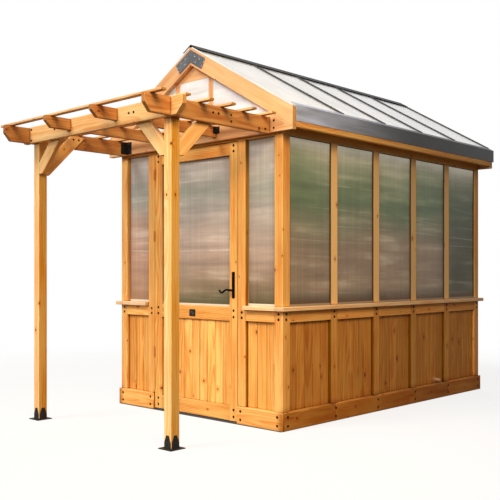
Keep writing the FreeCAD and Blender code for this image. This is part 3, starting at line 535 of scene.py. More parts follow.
@dataclass(frozen=True)
class WallSheet:
    """Milky twin-wall sheet that stands upright, with a painted haze of the garden behind it and
    painted reflections.
    """

    name: str
    flute: Flute
    stops: Stops
    bottom: float = 0.80
    top: float = 1.96
    pitch: float = 0.0105
    drift: Weave = Weave(1.3, 2.0)
    drift_sway: float = 0.34
    shadow: Colour = tint(58, 66, 34)
    shadow_from: float = 9.0
    shadow_run: float = 0.45
    shadow_drift: Span = (0.45, 0.9)
    shadow_share: Span = (0.9, 0.5)
    shadow_rise: Span = (0.5, 0.95)
    blush: float = 0.0
    blush_tone: Colour = tint(196, 148, 118)
    blush_run: Span = (-0.3, -0.6)
    blush_rise: Span = (0.7, 0.5)
    smear: Weave = Weave(1.0, 12.0, rough=0.6)
    haze: Weave = Weave(2.2, 2.6, 4.0, 0.6)
    gleam: float = 0.45
    gleam_tone: Colour = tint(228, 226, 222)
    gleam_smear: Span = (0.48, 0.80)
    gleam_haze: Span = (0.30, 0.70)
    waver: Weave = Weave(0.4, 6.0, 0.0)
    lines: float = 0.4
    line_tone: Colour = tint(244, 244, 242)
    line_width: Span = (0.022, 0.004)
    line_haze: Span = (0.38, 0.62)
    streak: Weave = Weave(64.0, 0.9, 2.0)
    ribs: float = 1.0
    rib_mix: Weights = (0.42, 0.05)
    light_mix: Weights = (1.1, 0.6)
    foot: float = 0.1
    foot_span: Span = (0.11, 0.0)
    foot_sway: float = 0.1
    foot_shade: float = 0.4
    edge: float = 0.12
    edge_shade_reach: float = 0.08
    edge_shade_span: Span = (1.0, 0.78)
    edge_shade_tone: Colour = tint(92, 60, 30)
    glow: float = 0.0
    glow_span: Span = (0.89, 1.0)
    glow_sway: float = 0.08
    glow_mix: Span = (0.4, 0.9)
    glow_tone: Colour = tint(238, 230, 208)
    through: float = 0.4
    clear: float = 0.12
    clear_mix: Span = (0.6, 0.8)
    rough: float = 0.25
    rough_mix: Weights = (0.16, 0.03)
    relief_mix: Weights = (0.5, 0.6)
    relief: Span = (0.12, 0.002)
    gloss: float = 0.35
    coat_share: float = 0.2
    coat_rough: float = 0.2

    @lru_cache(maxsize=None)
    def material(self) -> bpy.types.Material:
        """Build the sheet on the part's coordinates."""
        tree = Recipe.material(self.name)
        spots = tree.split(tree.place())
        run, other, height = spots[self.flute.value], spots[1 - self.flute.value], spots[2]
        rise = (height - self.bottom) / (self.top - self.bottom)
        drift, smear, haze, waver, streak = (
            tree.noise(tree.join(run * weave.along, other, height * weave.across),
                       weave.detail, weave.rough)
            for weave in (self.drift, self.smear, self.haze, self.waver, self.streak))
        web = (run * (FULL_TURN / self.pitch)).wave()

        # The painted haze of the garden darkens towards the far end as painted shade, and blushes at
        # the near one
        colour = tree.ramp(rise + drift.swing() * self.drift_sway, self.stops)
        least, more = self.shadow_drift
        far = run.ease(self.shadow_from, self.shadow_from + self.shadow_run)
        far = far * (least + drift * more)
        low, lift = self.shadow_share
        colour = tree.mix(far * (low - rise.ease(*self.shadow_rise) * lift), colour, self.shadow)
        blush = run.ease(*self.blush_run) * rise.ease(*self.blush_rise) * self.blush
        colour = tree.mix(blush, colour, self.blush_tone)

        # Painted highlights: bright smears and thin wavering lines lie level across the flutes; webs
        # and streaks stand upright
        gleam = smear.ease(*self.gleam_smear) * haze.ease(*self.gleam_haze)
        colour = tree.mix(gleam * self.gleam, colour, self.gleam_tone)
        line = abs(waver.swing()).ease(*self.line_width) * haze.ease(*self.line_haze)
        colour = tree.mix(line * self.lines, colour, self.line_tone)
        light = tree.total(self.light_mix, smear.swing(), haze.swing(), start=1.0)
        rib = tree.total(self.rib_mix, streak.swing(), web)
        colour = tree.shade(colour, light + rib * self.ribs)
        foot = (rise + drift.swing() * self.foot_sway).ease(*self.foot_span)
        colour = tree.mark(colour, foot, Mark(self.foot, self.foot_shade))
        # Painted shade: the pane turns dark brown near its frame and the studs
        edge = tree.crevice(self.edge_shade_reach).ease(*self.edge_shade_span)
        colour = tree.mix(edge * self.edge, colour, self.edge_shade_tone)

        brow = (rise + drift.swing() * self.glow_sway).ease(*self.glow_span)
        least, more = self.glow_mix
        glow = tree.mix(brow * (least + haze * more), tree.shade(colour, self.through),
                        self.glow_tone)
        least, more = self.clear_mix
        return tree.surface(
            Emission_Color=glow, Emission_Strength=self.glow, Base_Color=colour,
            Roughness=tree.total(self.rough_mix, smear, web, start=self.rough),
            Alpha=1.0 - self.clear * (least + haze * more),
            Normal=tree.bump(tree.total(self.relief_mix, web, smear), *self.relief),
            Specular_IOR_Level=self.gloss, Coat_Weight=self.gloss * self.coat_share,
            Coat_Roughness=self.coat_rough)


@dataclass(frozen=True)
class RoofSheet:
    """Twin-wall sheet on the slope, whitened by the sky, with flutes down the roof."""

    name: str
    pale: Colour = tint(246, 249, 254)
    grey: Colour = tint(218, 222, 228)
    rear: Colour = tint(202, 206, 212)
    rear_span: Span = (0.2, 2.2)
    rear_share: float = 0.6
    pitch: float = 0.0105
    patch: Weave = Weave(2.2, 3.2, 4.0, 0.62)
    patch_span: Span = (0.40, 0.68)
    runs: Weave = Weave(1.4, 46.0, rough=0.6)
    light_mix: Weights = (0.12, 0.03)
    rough_mix: Span = (0.20, 0.18)
    cover_mix: Span = (0.99, 0.06)
    relief_mix: Weights = (0.5, 0.5)
    relief: Span = (0.08, 0.002)
    gloss: float = 0.7
    coat: float = 0.8
    coat_rough: float = 0.12

    @lru_cache(maxsize=None)
    def material(self) -> bpy.types.Material:
        """Build the sheet on the part's coordinates."""
        tree = Recipe.material(self.name)
        x, y, _ = tree.split(tree.place())
        patch = tree.flat_noise(self.patch, x, y)
        runs = tree.flat_noise(self.runs, x, y)
        web = (y * (FULL_TURN / self.pitch)).wave()
        colour = tree.mix(patch.ease(*self.patch_span), self.pale, self.grey)
        # Painted reflection: the sheet turns greyer towards the rear
        colour = tree.mix(y.ease(*self.rear_span) * self.rear_share, colour, self.rear)
        colour = tree.shade(colour, tree.total(self.light_mix, runs.swing(), web, start=1.0))
        rough, streaks = self.rough_mix
        cover, gaps = self.cover_mix
        return tree.surface(
            Base_Color=colour, Roughness=rough + runs * streaks, Alpha=cover - patch * gaps,
            Normal=tree.bump(tree.total(self.relief_mix, web, runs), *self.relief),
            Specular_IOR_Level=self.gloss, Coat_Weight=self.coat, Coat_Roughness=self.coat_rough)


@dataclass(frozen=True)
class CoatedMetal:
    """Painted, powder-coated or bare metal with an uneven skin."""

    name: str
    base: Colour
    worn: Colour
    metallic: float = 0.2
    rough: float = 0.42
    rough_mix: Weights = (0.22, 0.2, -0.08)
    speckle: float = 420.0
    speckle_grain: Span = (3.0, 0.65)
    cloud: float = 9.0
    cloud_grain: Span = (4.0, 0.6)
    contrast: float = 0.35
    wear_mix: Weights = (0.7, 0.3)
    wear_span: Span = (0.42, 0.66)
    arris_wear: Span = (0.25, 0.4)
    relief: float = 0.15
    relief_mix: Weights = (0.8, 0.4)
    relief_height: float = 0.0006
    gloss: float = 0.5
    painted_light_tone: Colour | None = None
    reflection_span: Span = (0.75, -1.05)
    reflection_mix: Span = (0.8, 1.2)
    reflection_metallic: float = 0.35
    sheen: Weave = Weave(2.2, 26.0, rough=0.6)

    @lru_cache(maxsize=None)
    def material(self) -> bpy.types.Material:
        """Build the metal on the part's coordinates and the arris attribute."""
        tree = Recipe.material(self.name)
        place = tree.place()
        grit = tree.noise(place, *self.speckle_grain, self.speckle)
        cloud = tree.noise(place, *self.cloud_grain, self.cloud)
        arris = tree.share("arris")
        metallic: Term = self.metallic
        wear = tree.total(self.wear_mix, grit, cloud).ease(*self.wear_span)
        colour = tree.mix(wear * self.contrast, self.base, self.worn)
        # Painted reflection: the metal turns pale and more metallic towards its front end, in
        # streaks
        if self.painted_light_tone:
            _, y, z = tree.split(place)
            least, more = self.reflection_mix
            sheen = tree.flat_noise(self.sheen, y, z)
            pale = y.ease(*self.reflection_span) * (least + sheen.swing() * more)
            colour = tree.mix(pale, colour, self.painted_light_tone)
            metallic = metallic + pale * self.reflection_metallic
        least, more = self.arris_wear
        colour = tree.mix(arris * (least + cloud * more), colour, self.worn)
        rough = tree.total(self.rough_mix, grit.swing(), cloud.swing(), arris, start=self.rough)
        relief = tree.total(self.relief_mix, grit, cloud)
        return tree.surface(
            Base_Color=colour, Roughness=rough, Metallic=metallic, Specular_IOR_Level=self.gloss,
            Normal=tree.bump(relief, self.relief, self.relief_height))


@dataclass(frozen=True)
class Rubber:
    """Dull rubber or soft plastic with dust in its pores."""

    name: str
    base: Colour = tint(15, 14, 14)
    dust: Colour = tint(52, 48, 42)
    dust_scale: Place = (30.0, 120.0, 260.0)
    dust_grain: Span = (4.0, 0.65)
    dust_span: Span = (0.45, 0.75)
    dust_share: float = 0.5
    rough_mix: Span = (0.72, 0.2)
    relief: Span = (0.3, 0.0008)

    @lru_cache(maxsize=None)
    def material(self) -> bpy.types.Material:
        """Build the rubber on the part's coordinates."""
        tree = Recipe.material(self.name)
        spots = zip(tree.split(tree.place()), self.dust_scale)
        dust = tree.noise(tree.join(*(spot * scale for spot, scale in spots)), *self.dust_grain)
        colour = tree.mix(dust.ease(*self.dust_span) * self.dust_share, self.base, self.dust)
        rough, dusty = self.rough_mix
        return tree.surface(
            Base_Color=colour, Roughness=rough + dust * dusty,
            Normal=tree.bump(dust, *self.relief))


FRAME_WOOD = OiledTimber(
    "frame_timber", tint(255, 206, 126), tint(230, 143, 60), knot_pitch=0.21)
# Painted shade: the jambs' right faces are painted much darker
JAMB_WOOD = OiledTimber(
    "jamb_timber", tint(255, 206, 126), tint(230, 143, 60), knot_pitch=0.21, lee=1.0,
    turned_face_shade=Mark(1.0, 0.42, 1.18))
# Painted shade on the studs' front faces and below the sill, painted light above the sill
STUD_WOOD = OiledTimber(
    "stud_timber", tint(226, 175, 98), tint(194, 113, 42), knot_pitch=0.21, bow=1.0,
    turned_face_shade=Mark(1.0, 0.34, 1.18), upper_painted_light=0.92, painted_light_tone=tint(255, 216, 160))
END_BOARD_WOOD = OiledTimber(
    "end_board_timber", tint(244, 186, 103), tint(210, 127, 49), knot_radius=0.0100, spread=0.24)
# Painted shade: a darker, shaded copy of the end boards for the side walls
SHADED_SIDE_BOARD_WOOD = OiledTimber(
    "shaded_side_board_timber", tint(213, 157, 80), tint(178, 104, 35), knot_radius=0.0110, spread=0.24)
ROOF_WOOD = OiledTimber("roof_timber", tint(240, 196, 146), tint(216, 152, 102), knot_pitch=0.22)
# Painted shade on the right faces of the posts, the header's ends, the braces and the slats
POST_WOOD = OiledTimber("post_timber", tint(254, 219, 158), tint(236, 168, 97), lee=1.0)
PORCH_WOOD = OiledTimber("porch_timber", tint(254, 217, 156), tint(234, 164, 94), lee=0.12)
SLAT_WOOD = OiledTimber("slat_timber", tint(244, 204, 150), tint(218, 156, 98), lee=0.8)
# Painted shade: a darker, shaded copy of the porch wood for the rafters
SHADED_RAFTER_WOOD = OiledTimber("rafter_timber", tint(216, 164, 105), tint(172, 103, 53), spread=0.3)
DOOR_WOOD = OiledTimber("door_timber", tint(253, 204, 120), tint(220, 132, 52), spread=0.26)
SILL_WOOD = OiledTimber("sill_timber", tint(254, 224, 184), tint(238, 182, 128))

# Painted reflections and a painted view through each sheet, given by height; the side stops also
# hold painted shade
FRONT_STOPS = (
    (0.0, tint(104, 101, 73)), (0.10, tint(152, 133, 110)), (0.30, tint(192, 171, 159)),
    (0.55, tint(184, 177, 173)), (0.72, tint(174, 179, 172)), (0.86, tint(198, 195, 192)),
    (1.0, tint(216, 210, 206)))
SIDE_STOPS = (
    (0.0, tint(134, 128, 112)), (0.12, tint(154, 137, 121)), (0.34, tint(153, 137, 122)),
    (0.48, tint(136, 137, 117)), (0.62, tint(107, 127, 99)), (0.76, tint(121, 140, 110)),
    (0.87, tint(164, 174, 150)), (0.96, tint(198, 200, 186)))
GABLE_STOPS = ((0.0, tint(218, 223, 234)), (1.0, tint(234, 238, 247)))
FRONT_SHEET = WallSheet(
    "front_twin_wall", Flute.ACROSS_X, FRONT_STOPS, lines=0.42, glow=0.1, blush=0.6)
SIDE_SHEET = WallSheet(
    "side_twin_wall", Flute.ACROSS_Y, SIDE_STOPS, gleam=0.6, gleam_tone=tint(198, 194, 182),
    gloss=0.2, lines=0.15, glow=0.36, through=0.45, shadow_from=1.05, foot=0.8, edge=0.7)
GABLE_SHEET = WallSheet(
    "gable_twin_wall", Flute.ACROSS_X, GABLE_STOPS, bottom=2.0, top=2.6, clear=0.04, ribs=0.35)
ROOF_SHEET = RoofSheet("roof_twin_wall")

CHARCOAL = CoatedMetal(
    "charcoal_coat", tint(50, 50, 52), tint(84, 87, 92), metallic=0.0, rough=0.62, gloss=0.22)
# The flashings carry a painted reflection at their front ends
SATIN_CHARCOAL = CoatedMetal(
    "satin_charcoal_coat", tint(38, 37, 38), tint(76, 77, 82), metallic=0.0, gloss=0.3,
    painted_light_tone=tint(206, 219, 250))
PLATE_STEEL = CoatedMetal(
    "speckled_plate", tint(72, 76, 84), tint(122, 128, 138), metallic=0.1, rough=0.5,
    speckle=130.0, contrast=0.8, relief=0.3)
BLACK_COAT = CoatedMetal(
    "black_coat", tint(26, 25, 26), tint(58, 56, 55), metallic=0.0, rough=0.55, gloss=0.25)
HANDLE_COAT = CoatedMetal(
    "handle_coat", tint(9, 8, 8), tint(30, 27, 26), metallic=0.0, rough=0.55, speckle=700.0,
    contrast=0.3, relief=0.08, gloss=0.03)
BRIGHT_STEEL = CoatedMetal(
    "latch_metal", tint(168, 168, 166), tint(206, 206, 204), metallic=0.9, rough=0.34,
    speckle=300.0, contrast=0.4, relief=0.06)
DULL_BRASS = CoatedMetal(
    "inlet_metal", tint(172, 122, 84), tint(236, 190, 148), metallic=0.3, rough=0.36,
    speckle=320.0, contrast=0.6, relief=0.08)
BOLT_COAT = CoatedMetal(
    "bolt_coat", tint(22, 13, 8), tint(48, 30, 18), metallic=0.0, rough=0.65, gloss=0.1)
JOINT_PLUG = CoatedMetal(
    "joint_plug", tint(34, 17, 8), tint(62, 34, 16), metallic=0.0, rough=0.7, gloss=0.1)
HINGE_COAT = CoatedMetal(
    "aged_hinge", tint(198, 138, 78), tint(222, 170, 112), metallic=0.0, rough=0.5, gloss=0.3)
PLAIN_PANEL = CoatedMetal(
    "plain_panel", tint(84, 79, 70), tint(124, 116, 102), metallic=0.3, rough=0.45)
END_BEAD = CoatedMetal(
    "end_bead", tint(216, 208, 194), tint(238, 232, 222), metallic=0.0, rough=0.5, gloss=0.3)
# Painted shade: a darker, shaded copy of the end bead for the side walls
SIDE_BEAD = CoatedMetal(
    "side_bead", tint(156, 140, 124), tint(184, 168, 150), metallic=0.0, rough=0.5, gloss=0.3)
# Black lips: real gaskets that also stand for painted shade along the side studs
BLACK_LIP = Rubber("black_lip")
MILKY_LIP = Rubber("milky_lip", tint(150, 141, 128), tint(184, 176, 162))
SWEEP_RUBBER = Rubber("sweep_rubber")

Finish = OiledTimber | WallSheet | RoofSheet | CoatedMetal | Rubber


def edges_of(verts: list[BMVert]) -> list[BMEdge]:
    """List the edges at some vertices once each, in an order that every run repeats."""
    return list(dict.fromkeys(edge for vert in verts for edge in vert.link_edges))


@dataclass(frozen=True)
class Member:
    """One solid of a node with its own axes: along its grain, across and up."""

    centre: Vector
    along: Vector
    across: Vector
    up: Vector
    spans: tuple[float, float, float]
    lo: Vector
    hi: Vector

    @classmethod
    def measure(cls, verts: list[BMVert]) -> "Member":
        """Find the axes of a connected solid.

        Args:
            verts: Its vertices.

        Returns:
            The member with its oriented and its level box.
        """
        longest = max(edges_of(verts), key=lambda edge: edge.calc_length())
        along = (longest.verts[1].co - longest.verts[0].co).normalized()
        axes = [axis_vector(number, 1.0) for number in range(3)]
        side = min(axes, key=lambda axis: abs(axis.dot(along)))
        up = along.cross(side).normalized()
        if up.dot(UP) < -WELD:
            up = -up
        across = up.cross(along).normalized()
        ranges = []
        for axis in (along, across, up):
            steps = [axis.dot(vert.co) for vert in verts]
            ranges.append((min(steps), max(steps)))
        middles = [(low + high) / 2 for low, high in ranges]
        centre = along * middles[0] + across * middles[1] + up * middles[2]
        lo = Vector([min(vert.co[i] for vert in verts) for i in range(3)])
        hi = Vector([max(vert.co[i] for vert in verts) for i in range(3)])
        return cls(centre, along, across, up, tuple(high - low for low, high in ranges), lo, hi)

    @property
    def middle(self) -> Vector:
        """Give the middle of the level box."""
        return (self.lo + self.hi) / 2

    def face(self, axis: int, way: float) -> float:
        """Give where the level box ends on an axis, forwards or backwards."""
        return self.hi[axis] if way > 0 else self.lo[axis]

    def height(self, share: float) -> float:
        """Give a height in the level box from its share."""
        return self.lo.z + share * (self.hi.z - self.lo.z)

    def local(self, point: Vector) -> Vector:
        """Give a point in the member's own axes."""
        offset = point - self.centre
        return Vector((self.along.dot(offset), self.across.dot(offset), self.up.dot(offset)))


def islands(mesh: BMesh) -> list[list[BMVert]]:
    """Part a mesh into its connected solids.

    Args:
        mesh: The mesh.

    Returns:
        The vertices of each solid.
    """
    seen: set[BMVert] = set()
    found = []
    for first in mesh.verts:
        if first in seen:
            continue
        seen.add(first)
        part = [first]
        for vert in part:
            others = [edge.other_vert(vert) for edge in vert.link_edges]
            fresh = [other for other in others if other not in seen]
            seen.update(fresh)
            part += fresh
        found.append(part)
    return sorted(found, key=lambda part: tuple(
        round(min(vert.co[i] for vert in part), 4) for i in range(3)))


def whole(node: str) -> BMesh:
    """Copy a CAD node with the triangles of each solid merged into flat faces.

    A solid ends where every edge has met its opposite, so solids that only touch stay apart.

    Args:
        node: The node's name.

    Returns:
        The merged mesh.
    """
    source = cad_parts[node].data
    mesh = bmesh.new()
    corners: dict[tuple[int, ...], BMVert] = {}
    open_edges: set[tuple] = set()
    for polygon in source.polygons:
        places = [source.vertices[index].co for index in polygon.vertices]
        keys = [tuple(round(value / WELD) for value in place) for place in places]
        if len(set(keys)) < len(keys):
            continue
        for key, place in zip(keys, places):
            if key not in corners:
                corners[key] = mesh.verts.new(place)
        mesh.faces.new([corners[key] for key in keys])
        for edge in zip(keys, keys[1:] + keys[:1]):
            if edge[::-1] in open_edges:
                open_edges.remove(edge[::-1])
            else:
                open_edges.add(edge)
        if not open_edges:
            corners.clear()
    mesh.normal_update()
    bmesh.ops.dissolve_limit(mesh, angle_limit=FLAT_ANGLE, verts=mesh.verts, edges=mesh.edges)
    return mesh


@lru_cache(maxsize=None)
def members(node: str) -> tuple[Member, ...]:
    """Measure the solids of a CAD node, in order of X, Y and Z."""
    mesh = whole(node)
    found = tuple(Member.measure(part) for part in islands(mesh))
    mesh.free()
    return found


def round_off(mesh: BMesh, edges: list[BMEdge], offset: float, segments: int) -> list[BMFace]:
    """Bevel edges.

    Args:
        mesh: The mesh.
        edges: Its edges.
        offset: Width of the bevel on each side.
        segments: Steps across it.

    Returns:
        The new faces.
    """
    made = bmesh.ops.bevel(
        mesh, geom=edges, offset=offset, offset_type="OFFSET", affect="EDGES", segments=segments,
        profile=0.5, material=-1, clamp_overlap=True)
    return made["faces"]


def smooth_curves(mesh: BMesh) -> None:
    """Shade a mesh smooth between its creases.

    Args:
        mesh: The mesh.
    """
    for face in mesh.faces:
        face.smooth = True
    for edge in mesh.edges:
        edge.smooth = edge.calc_face_angle(0.0) < CREASE_ANGLE


def settle(name: str, mesh: BMesh, finishes: list[Finish], body: str, slot: str,
           *nodes: str) -> bpy.types.Object:
    """Turn a finished mesh into a piece of the scene.

    Args:
        name: The piece's name.
        mesh: Its mesh, in place; it is freed.
        finishes: The finishes of its material slots.
        body: The body that carries it.
        slot: The record's material slot, which is not used.
        nodes: CAD nodes that it stands for.

    Returns:
        The object.
    """
    data = bpy.data.meshes.new(name)
    mesh.to_mesh(data)
    mesh.free()
    for stale in ("custom_normal", "UVMap"):
        if stale in data.attributes:
            data.attributes.remove(data.attributes[stale])
    for finish in finishes:
        data.materials.append(finish.material())
    piece = bpy.data.objects.new(name, data)
    bpy.context.scene.collection.objects.link(piece)
    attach(piece, body)
    if nodes:
        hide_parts(*nodes)
    LOG.info("%s rides on %s, %d faces", name, body, len(data.polygons))
    return piece


def coat(node: str, finish: Finish) -> None:
    """Give a CAD node that keeps its shape a finish.

    Args:
        node: The node's name.
        finish: Its finish.
    """
    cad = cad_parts[node]
    if not cad.material_slots:
        cad.data.materials.append(None)
    for slot in cad.material_slots:
        slot.material = finish.material()
    LOG.info("%s keeps its shape in %s", node, finish.name)


@dataclass(frozen=True)
class Joiner:
    """Planes a CAD node into timber or metal with eased edges."""

    arris: float
    segments: int = 2
    shortest: float = 6.0
    end_slope: float = 0.6
    heart_away: Span = (0.05, 0.16)
    start_reach: float = 9.0

    def ease_edges(self, mesh: BMesh) -> None:
        """Bevel the sharp edges and mark the new faces.

        Args:
            mesh: The merged mesh.
        """
        layer = mesh.faces.layers.float.new("arris")
        sharp = [edge for edge in mesh.edges
                 if edge.is_manifold and edge.calc_face_angle(0.0) > CREASE_ANGLE
                 and edge.calc_length() > self.shortest * self.arris]
        for face in round_off(mesh, sharp, self.arris, self.segments):
            face[layer] = 1.0
            face.smooth = True

    def draw_grain(self, mesh: BMesh, seed: str) -> None:
        """Write each board's own coordinates and tone, and which of its faces are cut ends.

        The faces that look to the right and to the front are noted too, for the painted shade on
        them.

        Args:
            mesh: The mesh.
            seed: Name that the boards' chances start from.
        """
        grain = mesh.verts.layers.float_vector.new("grain")
        board = mesh.verts.layers.float.new("board")
        end, lee, bow = (mesh.faces.layers.float.new(name) for name in ("end", "lee", "bow"))
        for number, part in enumerate(islands(mesh)):
            member = Member.measure(part)
            chance = random.Random(f"{seed}{number}")
            angle = chance.uniform(0.0, FULL_TURN)
            away = chance.uniform(*self.heart_away)
            reach = chance.uniform(-self.start_reach, self.start_reach)
            start = Vector((reach, away * math.cos(angle), away * math.sin(angle)))
            tone = chance.random()
            for vert in part:
                vert[grain] = member.local(vert.co) + start
                vert[board] = tone
            for face in {face for vert in part for face in vert.link_faces}:
                cut = abs(face.normal.dot(member.along)) > self.end_slope
                face[end] = 1.0 if cut else 0.0
                face[lee] = max(0.0, face.normal.x)
                face[bow] = max(0.0, -face.normal.y)

    def timber(self, node: str, finish: OiledTimber, body: str, slot: str) -> bpy.types.Object:
        """Replace a CAD node by the same timber with eased edges and grain.

        Args:
            node: The node's name.
            finish: Its wood.
            body: The body that carries it.
            slot: The record's material slot, passed on but not used.

        Returns:
            The new piece.
        """
        mesh = whole(node)
        self.ease_edges(mesh)
        mesh.normal_update()
        self.draw_grain(mesh, node)
        return settle(f"{node}_timber", mesh, [finish], body, slot, node)

    def metal(self, node: str, finish: CoatedMetal, body: str, slot: str) -> bpy.types.Object:
        """Replace a CAD node by the same metal with eased edges and smooth curves.

        Args:
            node: The node's name.
            finish: Its coat.
            body: The body that carries it.
            slot: The record's material slot, passed on but not used.

        Returns:
            The new piece.
        """
        mesh = whole(node)
        self.ease_edges(mesh)
        smooth_curves(mesh)
        return settle(f"{node}_metal", mesh, [finish], body, slot, node)


class Head(Enum):
    """The kinds of fastener heads."""

    PLUG = "flush plug"
    HEX = "hexagon on a washer"
    SCREW = "round screw with a socket"


@dataclass(frozen=True)
class Fastener:
    """A fastener head that sits on a surface; its shares are of its radius or rise."""

    head: Head
    radius: float
    rise: float
    sunk: float = 0.6 * MM
    washer_rise: float = 0.3
    washer_shares: Span = (1.55, 1.45)
    hex_shares: Span = (1.0, 0.97)
    cap_shares: Span = (1.0, 0.84)
    socket_rim: float = 0.4
    socket_depth: float = 0.6
    washer_sides: int = 14
    hex_sides: int = 6
    plug_sides: int = 12
    screw_sides: int = 10

    def drive(self, mesh: BMesh, place: Vector, way: Vector) -> None:
        """Add one head to a mesh.

        Args:
            mesh: The mesh that collects the heads.
            place: Point on the surface.
            way: Outward direction.
        """
        turn = way.to_track_quat("Z", "Y").to_matrix().to_4x4()
        if self.head is Head.HEX:
            washer = self.rise * self.washer_rise
            self.disc(mesh, place, turn, self.washer_sides, self.washer_shares, washer)
            self.disc(mesh, place + way * washer, turn, self.hex_sides, self.hex_shares,
                      self.rise - washer)
            return
        sides = self.plug_sides if self.head is Head.PLUG else self.screw_sides
        cap = self.disc(mesh, place, turn, sides, self.cap_shares, self.rise)
        if self.head is Head.SCREW:
            bmesh.ops.inset_region(
                mesh, faces=[cap], thickness=self.radius * self.socket_rim, depth=0.0)
            sink = way * (-self.socket_depth * self.rise)
            bmesh.ops.translate(mesh, verts=cap.verts, vec=sink)

    def through(self, mesh: BMesh, place: Vector, axis: int, faces: Span) -> None:
        """Add a head on each of two opposite faces.

        Args:
            mesh: The mesh that collects the heads.
            place: Point between the faces.
            axis: The axis that the faces look along.
            faces: Where they stand on it.
        """
        for face, other in (faces, faces[::-1]):
            spot = place.copy()
            spot[axis] = face
            self.drive(mesh, spot, axis_vector(axis, sign(face - other)))

    def disc(self, mesh: BMesh, place: Vector, turn: Matrix, sides: int, shares: Span,
             rise: float) -> BMFace:
        """Add one closed disc.

        Args:
            mesh: The mesh that collects it.
            place: Middle of its foot on the surface.
            turn: Turn from upright.
            sides: Number of sides.
            shares: Shares of the radius at the foot and at the top.
            rise: Height above the surface.

        Returns:
            Its top face.
        """
        low, high = (share * self.radius for share in shares)
        shift = Matrix.Translation((0.0, 0.0, (rise - self.sunk) / 2))
        made = bmesh.ops.create_cone(
            mesh, cap_ends=True, cap_tris=False, segments=sides, radius1=low, radius2=high,
            depth=rise + self.sunk, matrix=Matrix.Translation(place) @ turn @ shift)
        way = turn.to_3x3() @ UP
        faces = {face for vert in made["verts"] for face in vert.link_faces}
        return max(faces, key=lambda face: (face.calc_center_median() + face.normal).dot(way))


@dataclass(frozen=True)
class Gasket:
    """A lip round the sides and the top of a pane, with a bead at its foot, on both faces."""

    width: float = 6 * MM
    rise: float = 3 * MM
    bead: float = 15 * MM
    sunk: float = 0.5 * MM
    round_width: float = 1.2 * MM
    round_steps: int = 2
    long_share: float = 0.99

    def lay(self, lips: BMesh, beads: BMesh, pane: Member) -> None:
        """Add the lips and the beads of one upright pane.

        Args:
            lips: The mesh that collects the lips.
            beads: The mesh that collects the beads.
            pane: The pane.
        """
        size = pane.hi - pane.lo
        axis = 0 if size.x < size.y else 1
        run = 1 - axis
        whole_run = (pane.lo[run], pane.hi[run])
        foot, head = pane.lo.z + self.bead, pane.hi.z - self.width
        for way in (-1.0, 1.0):
            face = pane.face(axis, way)
            depth = sorted((face - way * self.sunk, face + way * self.rise))
            self.strip(beads, axis, depth, whole_run, (pane.lo.z, foot))
            self.strip(lips, axis, depth, whole_run, (head, pane.hi.z))
            for low in (pane.lo[run], pane.hi[run] - self.width):
                self.strip(lips, axis, depth, (low, low + self.width), (foot, head))

    def strip(self, mesh: BMesh, axis: int, depth: list[float], run: Span, heights: Span) -> None:
        """Add one straight lip with rounded edges.

        Args:
            mesh: The mesh that collects it.
            axis: The axis that the pane faces.
            depth: Its reach on that axis.
            run: Its reach on the other level axis.
            heights: Its reach upwards.
        """
        spans = [depth, run, heights] if axis == 0 else [run, depth, heights]
        middle = Vector([(low + high) / 2 for low, high in spans])
        size = [high - low for low, high in spans]
        matrix = Matrix.Translation(middle) @ Matrix.Diagonal((*size, 1.0))
        made = bmesh.ops.create_cube(mesh, size=1.0, matrix=matrix)
        edges = edges_of(made["verts"])
        least = self.long_share * max(edge.calc_length() for edge in edges)
        round_off(mesh, [edge for edge in edges if edge.calc_length() > least],
                  self.round_width, self.round_steps)


@dataclass
class WallFrame:
    """Posts, studs, rails, skirts, sills and plates, with the plugs of their joints."""

    uprights: ClassVar[dict[str, OiledTimber]] = {
        "corner_posts": FRAME_WOOD, "side_wall_studs": STUD_WOOD, "rear_wall_studs": STUD_WOOD,
        "door_jambs": JAMB_WOOD}
    rails: tuple[str, ...] = ("bottom_rails", "belt_rails", "side_top_plates", "gable_lintels")
    joiner: Joiner = Joiner(2.2 * MM)
    skirt_joiner: Joiner = Joiner(5.0 * MM, 3)
    sill_joiner: Joiner = Joiner(4.0 * MM, 3)
    plug: Fastener = Fastener(Head.PLUG, 10.4 * MM, 1.0 * MM)
    plug_shares: Span = (0.27, 0.75)

    def build(self) -> None:
        """Plane the timbers and drive the plugs."""
        for node, finish in self.uprights.items():
            self.joiner.timber(node, finish, "frame", "frame_wood")
        for node in self.rails:
            self.joiner.timber(node, FRAME_WOOD, "frame", "frame_wood")
        self.skirt_joiner.timber("skirt_boards", FRAME_WOOD, "frame", "frame_wood")
        self.sill_joiner.timber("window_sills", SILL_WOOD, "frame", "frame_wood")
        self.drive_plugs()

    def drive_plugs(self) -> None:
        """Put two plugs at each crossing of an upright with the belt and the skirt."""
        mesh = bmesh.new()
        belt, skirt, walls = (
            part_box(node) for node in ("belt_rails", "skirt_boards", "corner_posts"))
        sides = [(axis, end) for axis in (0, 1) for end in (0, 1)]
        for post in (post for node in self.uprights for post in members(node)):
            for axis, end in sides:
                face = walls[end][axis]
                if min(abs(post.lo[axis] - face), abs(post.hi[axis] - face)) > MM:
                    continue
                way = axis_vector(axis, sign(face - post.middle[axis]))
                for (low, high), depth in ((belt, face), (skirt, skirt[end][axis])):
                    for share in self.plug_shares:
                        place = post.middle
                        place[axis] = depth
                        place.z = low.z + share * (high.z - low.z)
                        self.plug.drive(mesh, place, way)
        settle("wall_joint_plugs", mesh, [JOINT_PLUG], "frame", "black_steel")


@dataclass(frozen=True)
class WallKind:
    """Two opposite walls and what fills them."""

    name: str
    walls: tuple[str, str]
    wood: OiledTimber
    sheet: WallSheet
    lip: Rubber
    lip_slot: str
    bead: CoatedMetal


